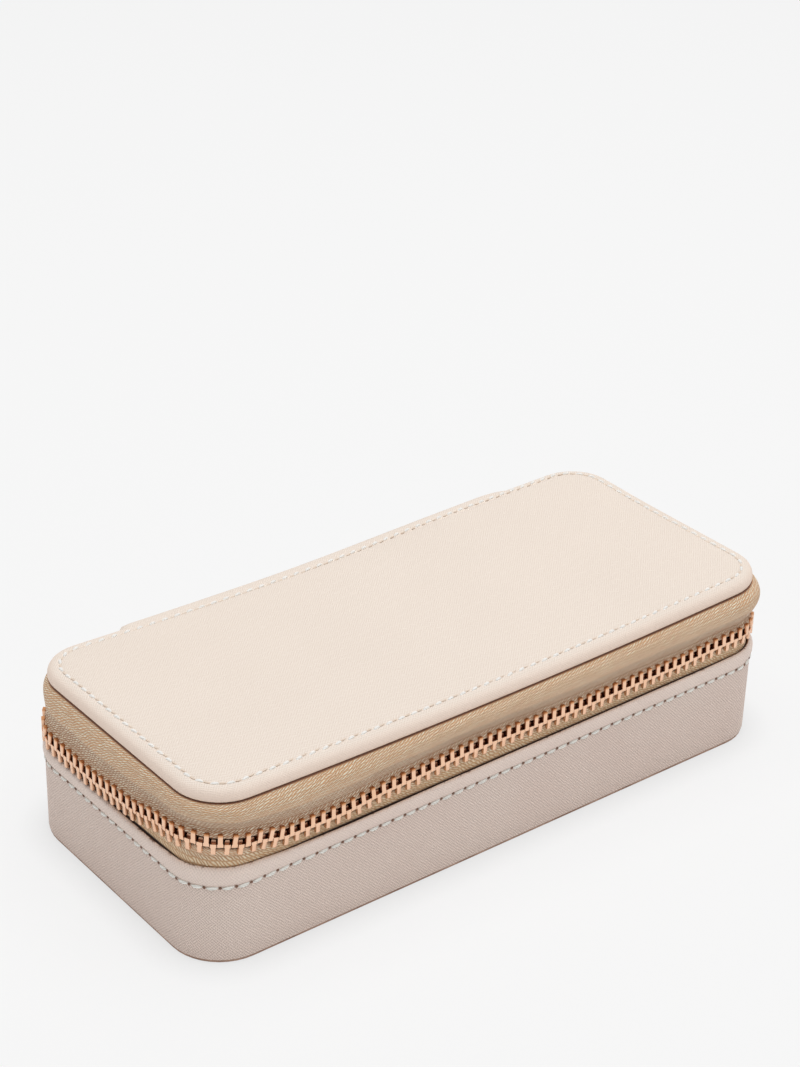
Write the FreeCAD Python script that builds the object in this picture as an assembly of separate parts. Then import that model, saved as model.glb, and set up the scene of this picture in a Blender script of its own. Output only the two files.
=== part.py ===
# A zip-round case for jewellery: a lined tray with a low padded lid, closed by a metal zip.
# Length runs along X, the front faces -Y, the hinge is at +Y and the case stands on Z = 0.
import FreeCAD
import Part
import math
import os

# Outside of the case, in millimetres
case_length = 180.0
case_depth = 80.0
corner_radius = 14.0
rim_height = 26.0
zip_rise = 6.0
lid_rise = 11.0
lid_thickness = 3.6
lid_inset = 2.0

# Layers of the wall, from the outside in
bottom_thickness = 1.0
bottom_setback = 0.8
cover_thickness = 1.1
rim_bead = 0.5
rim_band = 4.0
rim_round = 0.7
tape_thickness = 0.8
board_thickness = 2.0
board_drop = 1.2
lining_thickness = 0.8
layer_gap = 0.1

# Floor and lid layers
floor_board_thickness = 2.0
floor_pad_thickness = 1.6
lid_board_thickness = 1.5
lid_upper_round = 1.4
lid_lower_round = 0.7
lid_lining_thickness = 1.5
tape_hem = 6.0

# Zip
tooth_pitch = 2.9
tooth_width = 1.2
tooth_depth = 2.8
tooth_reach = 3.0
tooth_hook = 0.95
tooth_bevel = 0.5
tape_edge_gap = 2.3
tooth_slot_gap = 0.08
tape_sewn_depth = 5.5
tape_tuck = 6.0
stop_length = 2.6
stop_gap = 0.6
chain_setback = 4.6

# Slider and pull
slider_length = 11.5
slider_plate = 1.1
slider_lip = 0.9
slider_flare = 0.9
slider_side_gap = 0.4
slider_play = 0.25
slider_tape_gap = 0.2
post_length = 2.8
post_setback = 0.6
post_height = 1.5
bridge_length = 7.4
bridge_width = 2.0
bridge_stock = 1.1
bridge_rise = 2.2
pull_length = 26.0
pull_width = 6.4
pull_thickness = 1.2
pull_arm = 1.35
pull_gap = 0.35
pull_hole = 2.8

# Hinge
spine_length = 128.0
spine_thickness = 1.0
spine_stand = 3.4
spine_overlap = 13.0
spine_gap = 0.3
hinge_lining_length = 112.0
hinge_lining_setback = 0.9

# Tray
ring_section = 58.0
side_section = 50.0
divider_thickness = 2.4
divider_height = 17.0
roll_count = 5
roll_height = 15.5
roll_gap = 0.3
tray_gap = 0.15

# Depths of the layers behind the outline of the rim
wall_inset = rim_bead
cover_inner = wall_inset + cover_thickness
tape_outer = cover_inner + layer_gap
tape_inner = tape_outer + tape_thickness
tape_middle = tape_outer + tape_thickness / 2
board_outer = tape_inner + layer_gap
board_inner = board_outer + board_thickness
lining_outer = board_inner + layer_gap
lining_inner = lining_outer + lining_thickness

# Levels
zip_height = rim_height + zip_rise
lid_underside = zip_height + lid_rise
board_top = rim_height - board_drop
tape_foot = rim_height - tape_sewn_depth
floor_board_top = bottom_thickness + floor_board_thickness
floor_pad_bottom = floor_board_top + layer_gap
tray_floor = floor_pad_bottom + floor_pad_thickness
lid_top = lid_underside + lid_thickness
lid_inside = lid_underside + layer_gap
hem_bottom = lid_underside - tape_thickness
lid_lining_top = hem_bottom - layer_gap
lid_lining_bottom = lid_lining_top - lid_lining_thickness
half_length = case_length / 2
half_depth = case_depth / 2


def slab(inset, low, high):
    length = case_length - 2 * inset
    depth = case_depth - 2 * inset
    radius = max(corner_radius - inset, 0.5)
    block = Part.makeBox(length, depth, high - low, FreeCAD.Vector(-length / 2, -depth / 2, low))
    upright = [edge for edge in block.Edges if edge.BoundBox.ZLength > 0.5 * (high - low)]
    return block.makeFillet(radius, upright)


def ring(outer, inner, low, high):
    return slab(outer, low, high).cut(slab(inner, low - 1, high + 1))


def edges_at(solid, level):
    flat = []
    for edge in solid.Edges:
        box = edge.BoundBox
        if abs(box.ZMin - level) < 1e-4 and abs(box.ZMax - level) < 1e-4:
            flat.append(edge)
    return flat


def box(x_low, x_high, y_low, y_high, z_low, z_high):
    corner = FreeCAD.Vector(x_low, y_low, z_low)
    return Part.makeBox(x_high - x_low, y_high - y_low, z_high - z_low, corner)


def prism(points, along):
    corners = [FreeCAD.Vector(*point) for point in points]
    face = Part.Face(Part.makePolygon(corners + corners[:1]))
    return face.extrude(FreeCAD.Vector(*along))


def save(name, shape):
    shape.exportStep("parts/" + name + ".step")


def without_back(shape):
    reach = spine_length / 2 - tape_tuck
    return shape.cut(box(-reach, reach, 0, case_depth, 0, 2 * lid_top))


# Base

def make_bottom_panel():
    return slab(bottom_setback, 0, bottom_thickness)


def make_base_cover():
    wall = slab(wall_inset, bottom_thickness, rim_height)
    wall = wall.makeFillet(rim_round, edges_at(wall, rim_height))
    band = slab(0, rim_height - rim_band, rim_height)
    band = band.makeFillet(rim_round, edges_at(band, rim_height))
    band = band.makeFillet(0.9 * rim_bead, edges_at(band, rim_height - rim_band))
    hollow = slab(cover_inner, 0, 2 * rim_height)
    return wall.fuse(band).cut(hollow).removeSplitter()


def make_base_wall_board():
    lower = ring(tape_outer, board_inner, bottom_thickness, tape_foot - layer_gap)
    upper = ring(board_outer, board_inner, bottom_thickness, board_top)
    return lower.fuse(upper).removeSplitter()


def make_floor_board():
    return slab(lining_outer, bottom_thickness, floor_board_top)


def make_wall_lining():
    wall = ring(lining_outer, lining_inner, floor_board_top, board_top + lining_thickness)
    fold = ring(board_outer, lining_inner, board_top, board_top + lining_thickness)
    return wall.fuse(fold).removeSplitter()


def make_floor_pad():
    return slab(lining_inner + layer_gap, floor_pad_bottom, tray_floor)


# Zip

def make_lower_tape():
    wall = ring(tape_outer, tape_inner, tape_foot, zip_height - tape_edge_gap / 2)
    return without_back(wall)


def make_upper_tape():
    wall = ring(tape_outer, tape_inner, zip_height + tape_edge_gap / 2, lid_underside)
    hem = ring(tape_outer, tape_inner + tape_hem, hem_bottom, lid_underside)
    return without_back(wall.fuse(hem).removeSplitter())


def staple(side, width, low):
    half = tooth_depth / 2
    slot = tape_thickness / 2 + tooth_slot_gap
    root = tape_edge_gap / 2 - tooth_slot_gap
    outline = [
        (-half, tooth_reach), (-half, low + tooth_bevel), (tooth_bevel - half, low),
        (half - tooth_bevel, low), (half, low + tooth_bevel), (half, tooth_reach),
        (slot, tooth_reach), (slot, root), (-slot, root), (-slot, tooth_reach),
    ]
    points = [(-width / 2, across, side * up) for across, up in outline]
    return prism(points, (width, 0, 0))


def tooth(side):
    return staple(side, tooth_width, -tooth_hook)


def chain_end():
    straight = half_depth - corner_radius
    return straight - stop_length - 2 * slider_play - slider_length - slider_play - tooth_width


def chain_path():
    run_x = half_length - corner_radius
    run_y = half_depth - corner_radius
    bend = corner_radius - tape_middle
    side_x = half_length - tape_middle
    side_y = half_depth - tape_middle
    start = spine_length / 2 + chain_setback
    return [
        ("line", (-start, side_y), 180, run_x - start),
        ("arc", (-run_x, run_y), 90, bend),
        ("line", (-side_x, run_y), 270, 2 * run_y),
        ("arc", (-run_x, -run_y), 180, bend),
        ("line", (-run_x, -side_y), 0, 2 * run_x),
        ("arc", (run_x, -run_y), 270, bend),
        ("line", (side_x, -run_y), 90, chain_end() + run_y),
    ]


def piece_length(piece):
    if piece[0] == "line":
        return piece[3]
    return piece[3] * math.pi / 2


def place_on_path(solid, distance):
    pieces = chain_path()
    for piece in pieces:
        if distance <= piece_length(piece) or piece is pieces[-1]:
            break
        distance = distance - piece_length(piece)
    kind, spot, angle, size = piece
    if kind == "line":
        heading = angle
        x = spot[0] + distance * math.cos(math.radians(angle))
        y = spot[1] + distance * math.sin(math.radians(angle))
    else:
        turn = angle + math.degrees(distance / size)
        heading = turn + 90
        x = spot[0] + size * math.cos(math.radians(turn))
        y = spot[1] + size * math.sin(math.radians(turn))
    placed = solid.copy()
    placed.rotate(FreeCAD.Vector(0, 0, 0), FreeCAD.Vector(0, 0, 1), heading)
    placed.translate(FreeCAD.Vector(x, y, zip_height))
    return placed


def make_teeth(side, offset):
    total = sum(piece_length(piece) for piece in chain_path())
    pattern = tooth(side)
    count = int((total - offset) / tooth_pitch) + 1
    return Part.makeCompound([place_on_path(pattern, offset + i * tooth_pitch) for i in range(count)])


def make_stops(side):
    clip = staple(side, stop_length, stop_gap / 2)
    first = place_on_path(clip, -stop_length / 2 - slider_play - tooth_width / 2)
    last = clip.copy()
    last.rotate(FreeCAD.Vector(0, 0, 0), FreeCAD.Vector(0, 0, 1), 90)
    spot = half_depth - corner_radius - stop_length / 2
    last.translate(FreeCAD.Vector(half_length - tape_middle, spot, zip_height))
    return Part.makeCompound([first, last])


# Slider, parked on the right side past the last tooth

slider_tail = chain_end() + tooth_width / 2 + slider_play
slider_nose = slider_tail + slider_length
slider_middle = slider_tail + slider_length / 2
slider_x = half_length - tape_middle
channel_half = tooth_depth / 2 + slider_play
tail_half = tooth_reach + slider_side_gap + slider_lip
nose_half = tail_half + slider_flare
plate_face = slider_x + channel_half + slider_plate


def slider_plate_at(x_low):
    points = [
        (x_low, slider_tail, zip_height - tail_half),
        (x_low, slider_nose, zip_height - nose_half),
        (x_low, slider_nose, zip_height + nose_half),
        (x_low, slider_tail, zip_height + tail_half),
    ]
    plate = prism(points, (slider_plate, 0, 0))
    corners = [edge for edge in plate.Edges if edge.BoundBox.XLength > 0.5 * slider_plate]
    return plate.makeFillet(slider_lip, corners)


def slider_lip_at(x_low, x_high, side):
    points = [
        (x_low, slider_tail + slider_lip, zip_height + side * (tail_half + slider_flare * slider_lip / slider_length)),
        (x_low, slider_nose - slider_lip, zip_height + side * (nose_half - slider_flare * slider_lip / slider_length)),
        (x_low, slider_nose - slider_lip, zip_height + side * (nose_half - slider_lip)),
        (x_low, slider_tail + slider_lip, zip_height + side * (tail_half - slider_lip)),
    ]
    return prism(points, (x_high - x_low, 0, 0))


def make_zip_slider():
    slot_half = tape_thickness / 2 + slider_tape_gap
    outer = slider_x + channel_half
    inner = slider_x - channel_half
    body = slider_plate_at(outer).fuse(slider_plate_at(inner - slider_plate))
    for side in (-1, 1):
        body = body.fuse(slider_lip_at(slider_x + slot_half, outer, side))
        body = body.fuse(slider_lip_at(inner, slider_x - slot_half, side))
    post_end = slider_nose - post_setback
    post = box(inner, outer, post_end - post_length, post_end,
               zip_height - post_height / 2, zip_height + post_height / 2)
    return body.fuse(post).removeSplitter()


def make_slider_bridge():
    half = bridge_length / 2
    arch = box(plate_face, plate_face + bridge_rise + bridge_stock, slider_middle - half, slider_middle + half,
               zip_height - bridge_width / 2, zip_height + bridge_width / 2)
    tops = [edge for edge in arch.Edges if edge.BoundBox.ZLength > 0.5 * bridge_width
            and edge.BoundBox.XMin > plate_face + bridge_rise]
    arch = arch.makeFillet(0.9 * bridge_stock, tops)
    window = box(plate_face - 1, plate_face + bridge_rise, slider_middle - half + bridge_stock,
                 slider_middle + half - bridge_stock, zip_height - bridge_width, zip_height + bridge_width)
    return arch.cut(window)


def make_pull_tab():
    bar_x = plate_face + bridge_rise / 2
    arm_low = bridge_width / 2 + pull_gap
    arm_high = arm_low + pull_arm
    half = pull_thickness / 2
    eye_end = slider_middle - bridge_length / 2 - pull_gap
    tip = slider_middle - pull_length
    bar = Part.makeCylinder(half, 2 * arm_high, FreeCAD.Vector(bar_x, slider_middle, zip_height - arm_high))
    points = [
        (bar_x - half, eye_end, zip_height - arm_high),
        (bar_x - half, tip, zip_height - pull_width / 2),
        (bar_x - half, tip, zip_height + pull_width / 2),
        (bar_x - half, eye_end, zip_height + arm_high),
    ]
    plate = prism(points, (pull_thickness, 0, 0))
    ends = [edge for edge in plate.Edges if edge.BoundBox.XLength > 0.5 * pull_thickness
            and edge.BoundBox.YMax < tip + 0.5 * pull_width]
    plate = plate.makeFillet(0.35 * pull_width, ends)
    for side in (-1, 1):
        low = zip_height + side * arm_low
        high = zip_height + side * arm_high
        plate = plate.fuse(box(bar_x - half, bar_x + half, eye_end, slider_middle, min(low, high), max(low, high)))
    hole_y = tip + 0.55 * pull_width
    hole = Part.makeCylinder(pull_hole / 2, 4 * pull_thickness,
                             FreeCAD.Vector(bar_x - 2 * pull_thickness, hole_y, zip_height),
                             FreeCAD.Vector(1, 0, 0))
    return plate.fuse(bar).cut(hole).removeSplitter()


# Lid

def make_lid_cover():
    shell = slab(lid_inset, lid_inside, lid_top)
    shell = shell.makeFillet(lid_upper_round, edges_at(shell, lid_top))
    shell = shell.makeFillet(lid_lower_round, edges_at(shell, lid_inside))
    return shell.cut(slab(lid_inset + cover_thickness, 0, lid_top - cover_thickness))


def make_lid_board():
    inset = lid_inset + cover_thickness + layer_gap
    return slab(inset, lid_inside, lid_inside + lid_board_thickness)


def make_lid_foam():
    inset = lid_inset + cover_thickness + layer_gap
    return slab(inset, lid_inside + lid_board_thickness + layer_gap, lid_top - cover_thickness - layer_gap)


def make_lid_lining():
    pad = slab(tape_inner + 5 * layer_gap, lid_lining_bottom, lid_lining_top)
    middle = slab(tape_inner + tape_hem + 3 * layer_gap, lid_lining_bottom, lid_underside)
    return pad.fuse(middle).removeSplitter()


# Hinge

def make_hinge_spine():
    wall = half_depth - wall_inset + spine_gap
    rim = half_depth + spine_gap
    lid_back = half_depth - lid_inset + layer_gap
    stand = half_depth - lid_inset + spine_stand - spine_thickness
    foot = rim_height - spine_overlap
    inner = [
        (wall, foot), (wall, foot + 0.4 * spine_overlap), (rim, rim_height - rim_band),
        (rim, rim_height), (stand, zip_height), (stand, lid_underside),
        (stand - spine_thickness, lid_top - 1.9 * spine_thickness), (lid_back, lid_top - 1.4 * spine_thickness),
    ]
    outer = [(y + spine_thickness, z) for y, z in inner[:6]]
    outer.append((stand - 0.2 * spine_thickness, lid_top - 0.9 * spine_thickness))
    outer.append((lid_back, lid_top - 0.4 * spine_thickness))
    left = -spine_length / 2
    sides = []
    for line in (inner, outer):
        curve = Part.BSplineCurve()
        curve.interpolate([FreeCAD.Vector(left, y, z) for y, z in line])
        sides.append(curve.toShape())
    ends = []
    for index in (0, -1):
        start = FreeCAD.Vector(left, *inner[index])
        ends.append(Part.makeLine(start, FreeCAD.Vector(left, *outer[index])))
    wire = Part.Wire(Part.__sortEdges__(sides + ends))
    return Part.Face(wire).extrude(FreeCAD.Vector(spine_length, 0, 0))


def make_hinge_lining():
    back = half_depth - board_outer - hinge_lining_setback
    half = hinge_lining_length / 2
    return box(-half, half, back - lining_thickness, back,
               board_top + lining_thickness + layer_gap, lid_lining_bottom - layer_gap)


# Tray

tray_half_length = half_length - lining_inner
tray_half_depth = half_depth - lining_inner
ring_wall = -tray_half_length + ring_section
side_wall = tray_half_length - side_section


def lined_divider(x_low, x_high, y_low, y_high, along_x):
    low = tray_floor + tray_gap
    high = tray_floor + divider_height
    block = box(x_low, x_high, y_low, y_high, low, high)
    ridge = []
    for edge in edges_at(block, high):
        span = edge.BoundBox.XLength if along_x else edge.BoundBox.YLength
        if span > divider_thickness + 1:
            ridge.append(edge)
    return block.makeFillet(0.45 * divider_thickness, ridge)


def make_ring_divider():
    depth = tray_half_depth - tray_gap
    return lined_divider(ring_wall, ring_wall + divider_thickness, -depth, depth, False)


def make_side_divider():
    depth = tray_half_depth - tray_gap
    return lined_divider(side_wall - divider_thickness, side_wall, -depth, depth, False)


def make_middle_divider():
    half = divider_thickness / 2
    low = ring_wall + divider_thickness + tray_gap
    high = side_wall - divider_thickness - tray_gap
    return lined_divider(low, high, -half, half, True)


def make_ring_roll(number):
    width = (ring_section - (roll_count + 1) * roll_gap) / roll_count
    left = -tray_half_length + roll_gap + number * (width + roll_gap)
    low = tray_floor + tray_gap
    depth = tray_half_depth - roll_gap
    radius = width / 2
    shoulder = low + roll_height - radius
    side = [(left, low), (left + width, low), (left + width, shoulder)]
    corners = [FreeCAD.Vector(x, -depth, z) for x, z in side]
    crown = Part.Arc(corners[2], FreeCAD.Vector(left + radius, -depth, shoulder + radius),
                     FreeCAD.Vector(left, -depth, shoulder)).toShape()
    wire = Part.Wire([
        Part.makeLine(corners[0], corners[1]), Part.makeLine(corners[1], corners[2]),
        crown, Part.makeLine(FreeCAD.Vector(left, -depth, shoulder), corners[0]),
    ])
    roll = Part.Face(wire).extrude(FreeCAD.Vector(0, 2 * depth, 0))
    return roll.common(slab(lining_inner + roll_gap, 0, lid_underside))


os.makedirs("parts", exist_ok=True)
save("bottom_panel", make_bottom_panel())
save("base_cover", make_base_cover())
save("base_wall_board", make_base_wall_board())
save("floor_board", make_floor_board())
save("wall_lining", make_wall_lining())
save("floor_pad", make_floor_pad())
save("lower_zip_tape", make_lower_tape())
save("upper_zip_tape", make_upper_tape())
save("lower_zip_teeth", make_teeth(-1, tooth_pitch / 2))
save("upper_zip_teeth", make_teeth(1, 0))
save("lower_zip_stops", make_stops(-1))
save("upper_zip_stops", make_stops(1))
save("zip_slider", make_zip_slider())
save("slider_bridge", make_slider_bridge())
save("pull_tab", make_pull_tab())
save("lid_cover", make_lid_cover())
save("lid_board", make_lid_board())
save("lid_foam", make_lid_foam())
save("lid_lining", make_lid_lining())
save("hinge_spine", make_hinge_spine())
save("hinge_lining", make_hinge_lining())
save("ring_divider", make_ring_divider())
save("side_divider", make_side_divider())
save("middle_divider", make_middle_divider())
for number in range(roll_count):
    save("ring_roll_" + str(number + 1), make_ring_roll(number))
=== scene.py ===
# Zip-round jewellery case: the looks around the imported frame. Lengths are in metres.
import math

import bmesh
import bpy
from mathutils import Matrix, Vector
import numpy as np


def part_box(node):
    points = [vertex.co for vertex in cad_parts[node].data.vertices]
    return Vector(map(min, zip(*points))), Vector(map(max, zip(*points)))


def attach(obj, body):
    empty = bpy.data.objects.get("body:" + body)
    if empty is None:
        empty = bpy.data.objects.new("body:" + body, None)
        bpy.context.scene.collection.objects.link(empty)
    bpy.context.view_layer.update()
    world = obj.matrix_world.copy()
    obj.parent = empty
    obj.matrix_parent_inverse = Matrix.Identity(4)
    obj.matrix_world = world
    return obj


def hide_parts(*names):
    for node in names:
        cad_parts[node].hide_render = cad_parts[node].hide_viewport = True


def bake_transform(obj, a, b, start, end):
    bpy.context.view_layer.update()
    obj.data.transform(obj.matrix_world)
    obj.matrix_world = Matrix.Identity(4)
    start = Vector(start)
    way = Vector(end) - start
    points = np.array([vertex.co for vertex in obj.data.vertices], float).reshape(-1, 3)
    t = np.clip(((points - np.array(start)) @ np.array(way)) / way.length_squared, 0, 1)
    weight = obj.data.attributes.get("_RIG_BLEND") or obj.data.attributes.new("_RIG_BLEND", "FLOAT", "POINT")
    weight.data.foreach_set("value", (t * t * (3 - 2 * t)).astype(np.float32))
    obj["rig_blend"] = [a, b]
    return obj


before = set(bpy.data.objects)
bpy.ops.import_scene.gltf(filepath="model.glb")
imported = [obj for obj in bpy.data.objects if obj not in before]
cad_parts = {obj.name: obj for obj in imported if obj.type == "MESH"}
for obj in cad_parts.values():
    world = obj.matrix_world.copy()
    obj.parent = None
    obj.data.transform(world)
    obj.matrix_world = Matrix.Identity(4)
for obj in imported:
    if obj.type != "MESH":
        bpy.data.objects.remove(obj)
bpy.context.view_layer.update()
bpy.ops.object.select_all(action="DESELECT")
print("frame loaded:", len(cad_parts), "nodes")

mm = 0.001
caseShape = {
    "length": 180 * mm, "depth": 80 * mm, "corner": 14 * mm, "cornerCuts": 10, "runStep": 4 * mm,
    "rim": 26 * mm, "lidUnder": 43 * mm,
    "rimTilt": 1.0 * mm, "lidTilt": 1.15 * mm, "lidBow": 1.9 * mm, "bowMean": 0.4,   # the soft case leans and bows
}
lidPuff = {"rise": 0.9 * mm, "right": (-20, 60), "end": (56, 26), "endDrop": 0.5, "back": (6, 26)}   # start, span in mm
coreX = caseShape["length"] / 2 - caseShape["corner"]
coreY = caseShape["depth"] / 2 - caseShape["corner"]
quarterTurn = caseShape["corner"] * math.pi / 2
wholeWalk = 4 * (coreX + coreY + quarterTurn)
legs = [coreX, quarterTurn, 2 * coreY, quarterTurn, 2 * coreX, quarterTurn, 2 * coreY, quarterTurn]
legStarts = [sum(legs[:i]) for i in range(len(legs))]
straight = 0.9999   # a way out this near an axis belongs to a straight side


# Outline: every wall of the case runs at some distance from one core rectangle

def fromCore(x, y):
    core = Vector((max(-coreX, min(coreX, x)), max(-coreY, min(coreY, y))))
    way = Vector((x, y)) - core
    return core, way.normalized(), way.length


def setIn(co, inset, z):   # the same place round the outline, at another inset and height
    core, way, reach = fromCore(co.x, co.y)
    spot = core + way * (caseShape["corner"] - inset)
    return Vector((spot.x, spot.y, z))


def walkTo(x, y):   # length round the outline, from the middle of the back towards the left
    core, way, reach = fromCore(x, y)
    if way.y > straight:
        return -core.x if core.x <= 0 else wholeWalk - core.x
    if way.x < -straight:
        return legStarts[2] + coreY - core.y
    if way.y < -straight:
        return legStarts[4] + core.x + coreX
    if way.x > straight:
        return legStarts[6] + core.y + coreY
    quarter, part = divmod(math.atan2(way.y, way.x) % (2 * math.pi), math.pi / 2)
    return legStarts[(2 * int(quarter) - 1) % len(legs)] + part / (math.pi / 2) * quarterTurn


outline = [   # runs: start, way along, way out, length. Bends: middle, first angle
    ("run", (0, coreY), (-1, 0), (0, 1), coreX), ("bend", (-coreX, coreY), 90),
    ("run", (-coreX, coreY), (0, -1), (-1, 0), 2 * coreY), ("bend", (-coreX, -coreY), 180),
    ("run", (-coreX, -coreY), (1, 0), (0, -1), 2 * coreX), ("bend", (coreX, -coreY), 270),
    ("run", (coreX, -coreY), (0, 1), (1, 0), 2 * coreY), ("bend", (coreX, coreY), 0),
    ("run", (coreX, coreY), (-1, 0), (0, 1), coreX),
]


def spotAt(walk, inset):   # place on the outline and the direction that faces out
    walk = walk % wholeWalk
    for leg in outline:
        size = leg[4] if leg[0] == "run" else quarterTurn
        if walk <= size or leg is outline[-1]:
            break
        walk = walk - size
    if leg[0] == "run":
        way = Vector(leg[3])
        core = Vector(leg[1]) + Vector(leg[2]) * walk
    else:
        turn = math.radians(leg[2]) + walk / caseShape["corner"]
        way = Vector((math.cos(turn), math.sin(turn)))
        core = Vector(leg[1])
    return core + way * (caseShape["corner"] - inset), way


def evenWalk(distance, inset, first=0.0):   # even steps at an inset take less of each corner than the outline does
    walk = first
    bend = (caseShape["corner"] - inset) * math.pi / 2
    for run in (coreX - first, 2 * coreY, 2 * coreX, 2 * coreY, coreX):
        if distance <= run:
            return walk + distance
        distance, walk = distance - run, walk + run
        if distance <= bend:
            return walk + distance / bend * quarterTurn
        distance, walk = distance - bend, walk + quarterTurn
    return walk + distance


def clamp(value):
    return max(0, min(1, value))


def ease(value):
    value = clamp(value)
    return value * value * (3 - 2 * value)


def easeAlong(stations, walk):   # smooth steps between stations, each a walk in mm and a value
    walk = walk / mm
    if walk <= stations[0][0]:
        return stations[0][1]
    for (fromWalk, fromValue), (toWalk, toValue) in zip(stations, stations[1:]):
        if walk <= toWalk:
            return fromValue + (toValue - fromValue) * ease((walk - fromWalk) / (toWalk - fromWalk))
    return stations[-1][1]


def lidLift(x):
    share = x / (caseShape["length"] / 2)
    return caseShape["lidTilt"] * share + caseShape["lidBow"] * (share * share - caseShape["bowMean"])


def puffLift(x, y):   # the padding lifts the lid a little at the back right
    right, end, back = (ease((at / mm - lidPuff[key][0]) / lidPuff[key][1])
                        for key, at in (("right", x), ("end", x), ("back", y)))
    return lidPuff["rise"] * right * (1 - lidPuff["endDrop"] * end) * back


def rimLift(x, z):
    return caseShape["rimTilt"] * x / (caseShape["length"] / 2) * clamp(z / caseShape["rim"])


def facing(*axes):   # a turn whose axes point these ways
    return Matrix(axes).transposed().to_4x4()


# Helpers for objects and edit mode

def pickOnly(*pieces):   # the first becomes the active one
    bpy.ops.object.select_all(action="DESELECT")
    for piece in pieces:
        piece.select_set(True)
    bpy.context.view_layer.objects.active = pieces[0]


def settle():
    bpy.ops.object.transform_apply(location=True, rotation=True, scale=True)


def named(name, scale=(1, 1, 1)):   # the primitive just added, at its size
    piece = bpy.context.object
    piece.name = name
    piece.scale = scale
    settle()
    return piece


def editOn(piece):
    pickOnly(piece)
    bpy.ops.object.mode_set(mode="EDIT")


def editOff():
    bpy.ops.object.mode_set(mode="OBJECT")


def pickAll():
    bpy.ops.mesh.select_all(action="SELECT")


def pickWhere(piece, kind, wanted):
    bpy.ops.mesh.select_mode(type=kind)
    bpy.ops.mesh.select_all(action="DESELECT")
    shape = bmesh.from_edit_mesh(piece.data)
    for item in shape.edges if kind == "EDGE" else shape.faces:
        item.select = wanted(item)
    bmesh.update_edit_mesh(piece.data)


def pickEdges(piece, wanted):
    pickWhere(piece, "EDGE", lambda edge: wanted(edge.verts[0].co, edge.verts[1].co))


def pickFaces(piece, wanted):
    pickWhere(piece, "FACE", lambda face: wanted(face.calc_center_median(), face.normal))


def extrude(*move):
    bpy.ops.mesh.extrude_region_move(TRANSFORM_OT_translate={"value": move})


def bevelEdges(offset, segments):
    bpy.ops.mesh.bevel(offset=offset, segments=segments, affect="EDGES")


def faceOut():
    pickAll()
    bpy.ops.mesh.normals_make_consistent(inside=False)


def closeEnds(piece):
    editOn(piece)
    pickAll()
    bpy.ops.mesh.fill_holes(sides=0)
    bpy.ops.mesh.normals_make_consistent(inside=False)
    editOff()


def setLoop(piece, inset, z, run, ring):   # moves the picked loop to its inset and height, and notes the run so far
    shape = bmesh.from_edit_mesh(piece.data)
    floats = shape.verts.layers.float
    for key in ("run", "ring"):
        if not floats.get(key):
            floats.new(key)
    runLayer, ringLayer = floats.get("run"), floats.get("ring")
    for vert in shape.verts:
        if vert.select:
            vert.co = setIn(vert.co, inset, z)
            vert[runLayer] = run
            vert[ringLayer] = ring
    bmesh.update_edit_mesh(piece.data)


def wallFrom(name, profile, cap=False):   # profile: (inset, z) loops in mm, drawn up one after the other
    profile = [(inset * mm, z * mm) for inset, z in profile]
    inset, z = profile[0]
    bpy.ops.mesh.primitive_plane_add(size=1, location=(0, 0, z))
    piece = named(name, (caseShape["length"] - 2 * inset, caseShape["depth"] - 2 * inset, 1))
    editOn(piece)
    pickAll()
    bpy.ops.mesh.bevel(offset=caseShape["corner"] - inset, segments=caseShape["cornerCuts"], affect="VERTICES")
    bpy.ops.mesh.delete(type="ONLY_FACE")
    pickEdges(piece, lambda a, b: abs(a.x - b.x) > coreX)
    bpy.ops.mesh.subdivide(number_cuts=round(2 * coreX / caseShape["runStep"]) - 1)
    pickEdges(piece, lambda a, b: abs(a.y - b.y) > coreY)
    bpy.ops.mesh.subdivide(number_cuts=round(2 * coreY / caseShape["runStep"]) - 1)
    pickAll()
    run = 0.0
    setLoop(piece, inset, z, run, 0)
    for ring, (nextInset, nextZ) in enumerate(profile[1:]):
        extrude(0, 0, nextZ - z)
        run = run + math.hypot(nextInset - inset, nextZ - z)
        inset, z = nextInset, nextZ
        setLoop(piece, inset, z, run, ring + 1)
    if cap:
        bpy.ops.mesh.edge_face_add()
    faceOut()
    editOff()
    return piece


def layClothRound(piece):   # unrolls a wall: round the outline, and up the profile
    runs = piece.data.attributes["run"].data
    cloth = piece.data.uv_layers.new(name="cloth")
    verts = piece.data.vertices
    for face in piece.data.polygons:
        walks = [walkTo(verts[v].co.x, verts[v].co.y) for v in face.vertices]
        far = max(walks)
        for loop, v, walk in zip(face.loop_indices, face.vertices, walks):
            if far - walk > wholeWalk / 2:
                walk = walk + wholeWalk
            cloth.data[loop].uv = (walk, runs[v].value)


def moveVerts(piece, moved):
    rings = piece.data.attributes.get("ring")
    for vert in piece.data.vertices:
        vert.co = moved(vert.co.copy(), round(rings.data[vert.index].value) if rings else 0)
    piece.data.update()


def raiseBy(piece, lift):
    moveVerts(piece, lambda co, ring: Vector((co.x, co.y, co.z + lift(co))))


def smooth(piece, angle):
    pickOnly(piece)
    bpy.ops.object.shade_smooth_by_angle(angle=math.radians(angle))


def applyModifier(piece, kind, **values):
    modifier = piece.modifiers.new(kind.title(), kind)
    for key, value in values.items():
        setattr(modifier, key, value)
    pickOnly(piece)
    bpy.ops.object.modifier_apply(modifier=modifier.name)


def softenEdges(piece, width, segments=2, angle=35):
    applyModifier(piece, "BEVEL", width=width * mm, segments=segments, limit_method="ANGLE",
                  angle_limit=math.radians(angle))


def joinPieces(name, parts):
    pickOnly(*parts)
    bpy.ops.object.join()
    piece = bpy.context.object
    piece.name = name
    return piece


def dropPattern(pattern):
    bpy.data.objects.remove(pattern, do_unlink=True)


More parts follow.
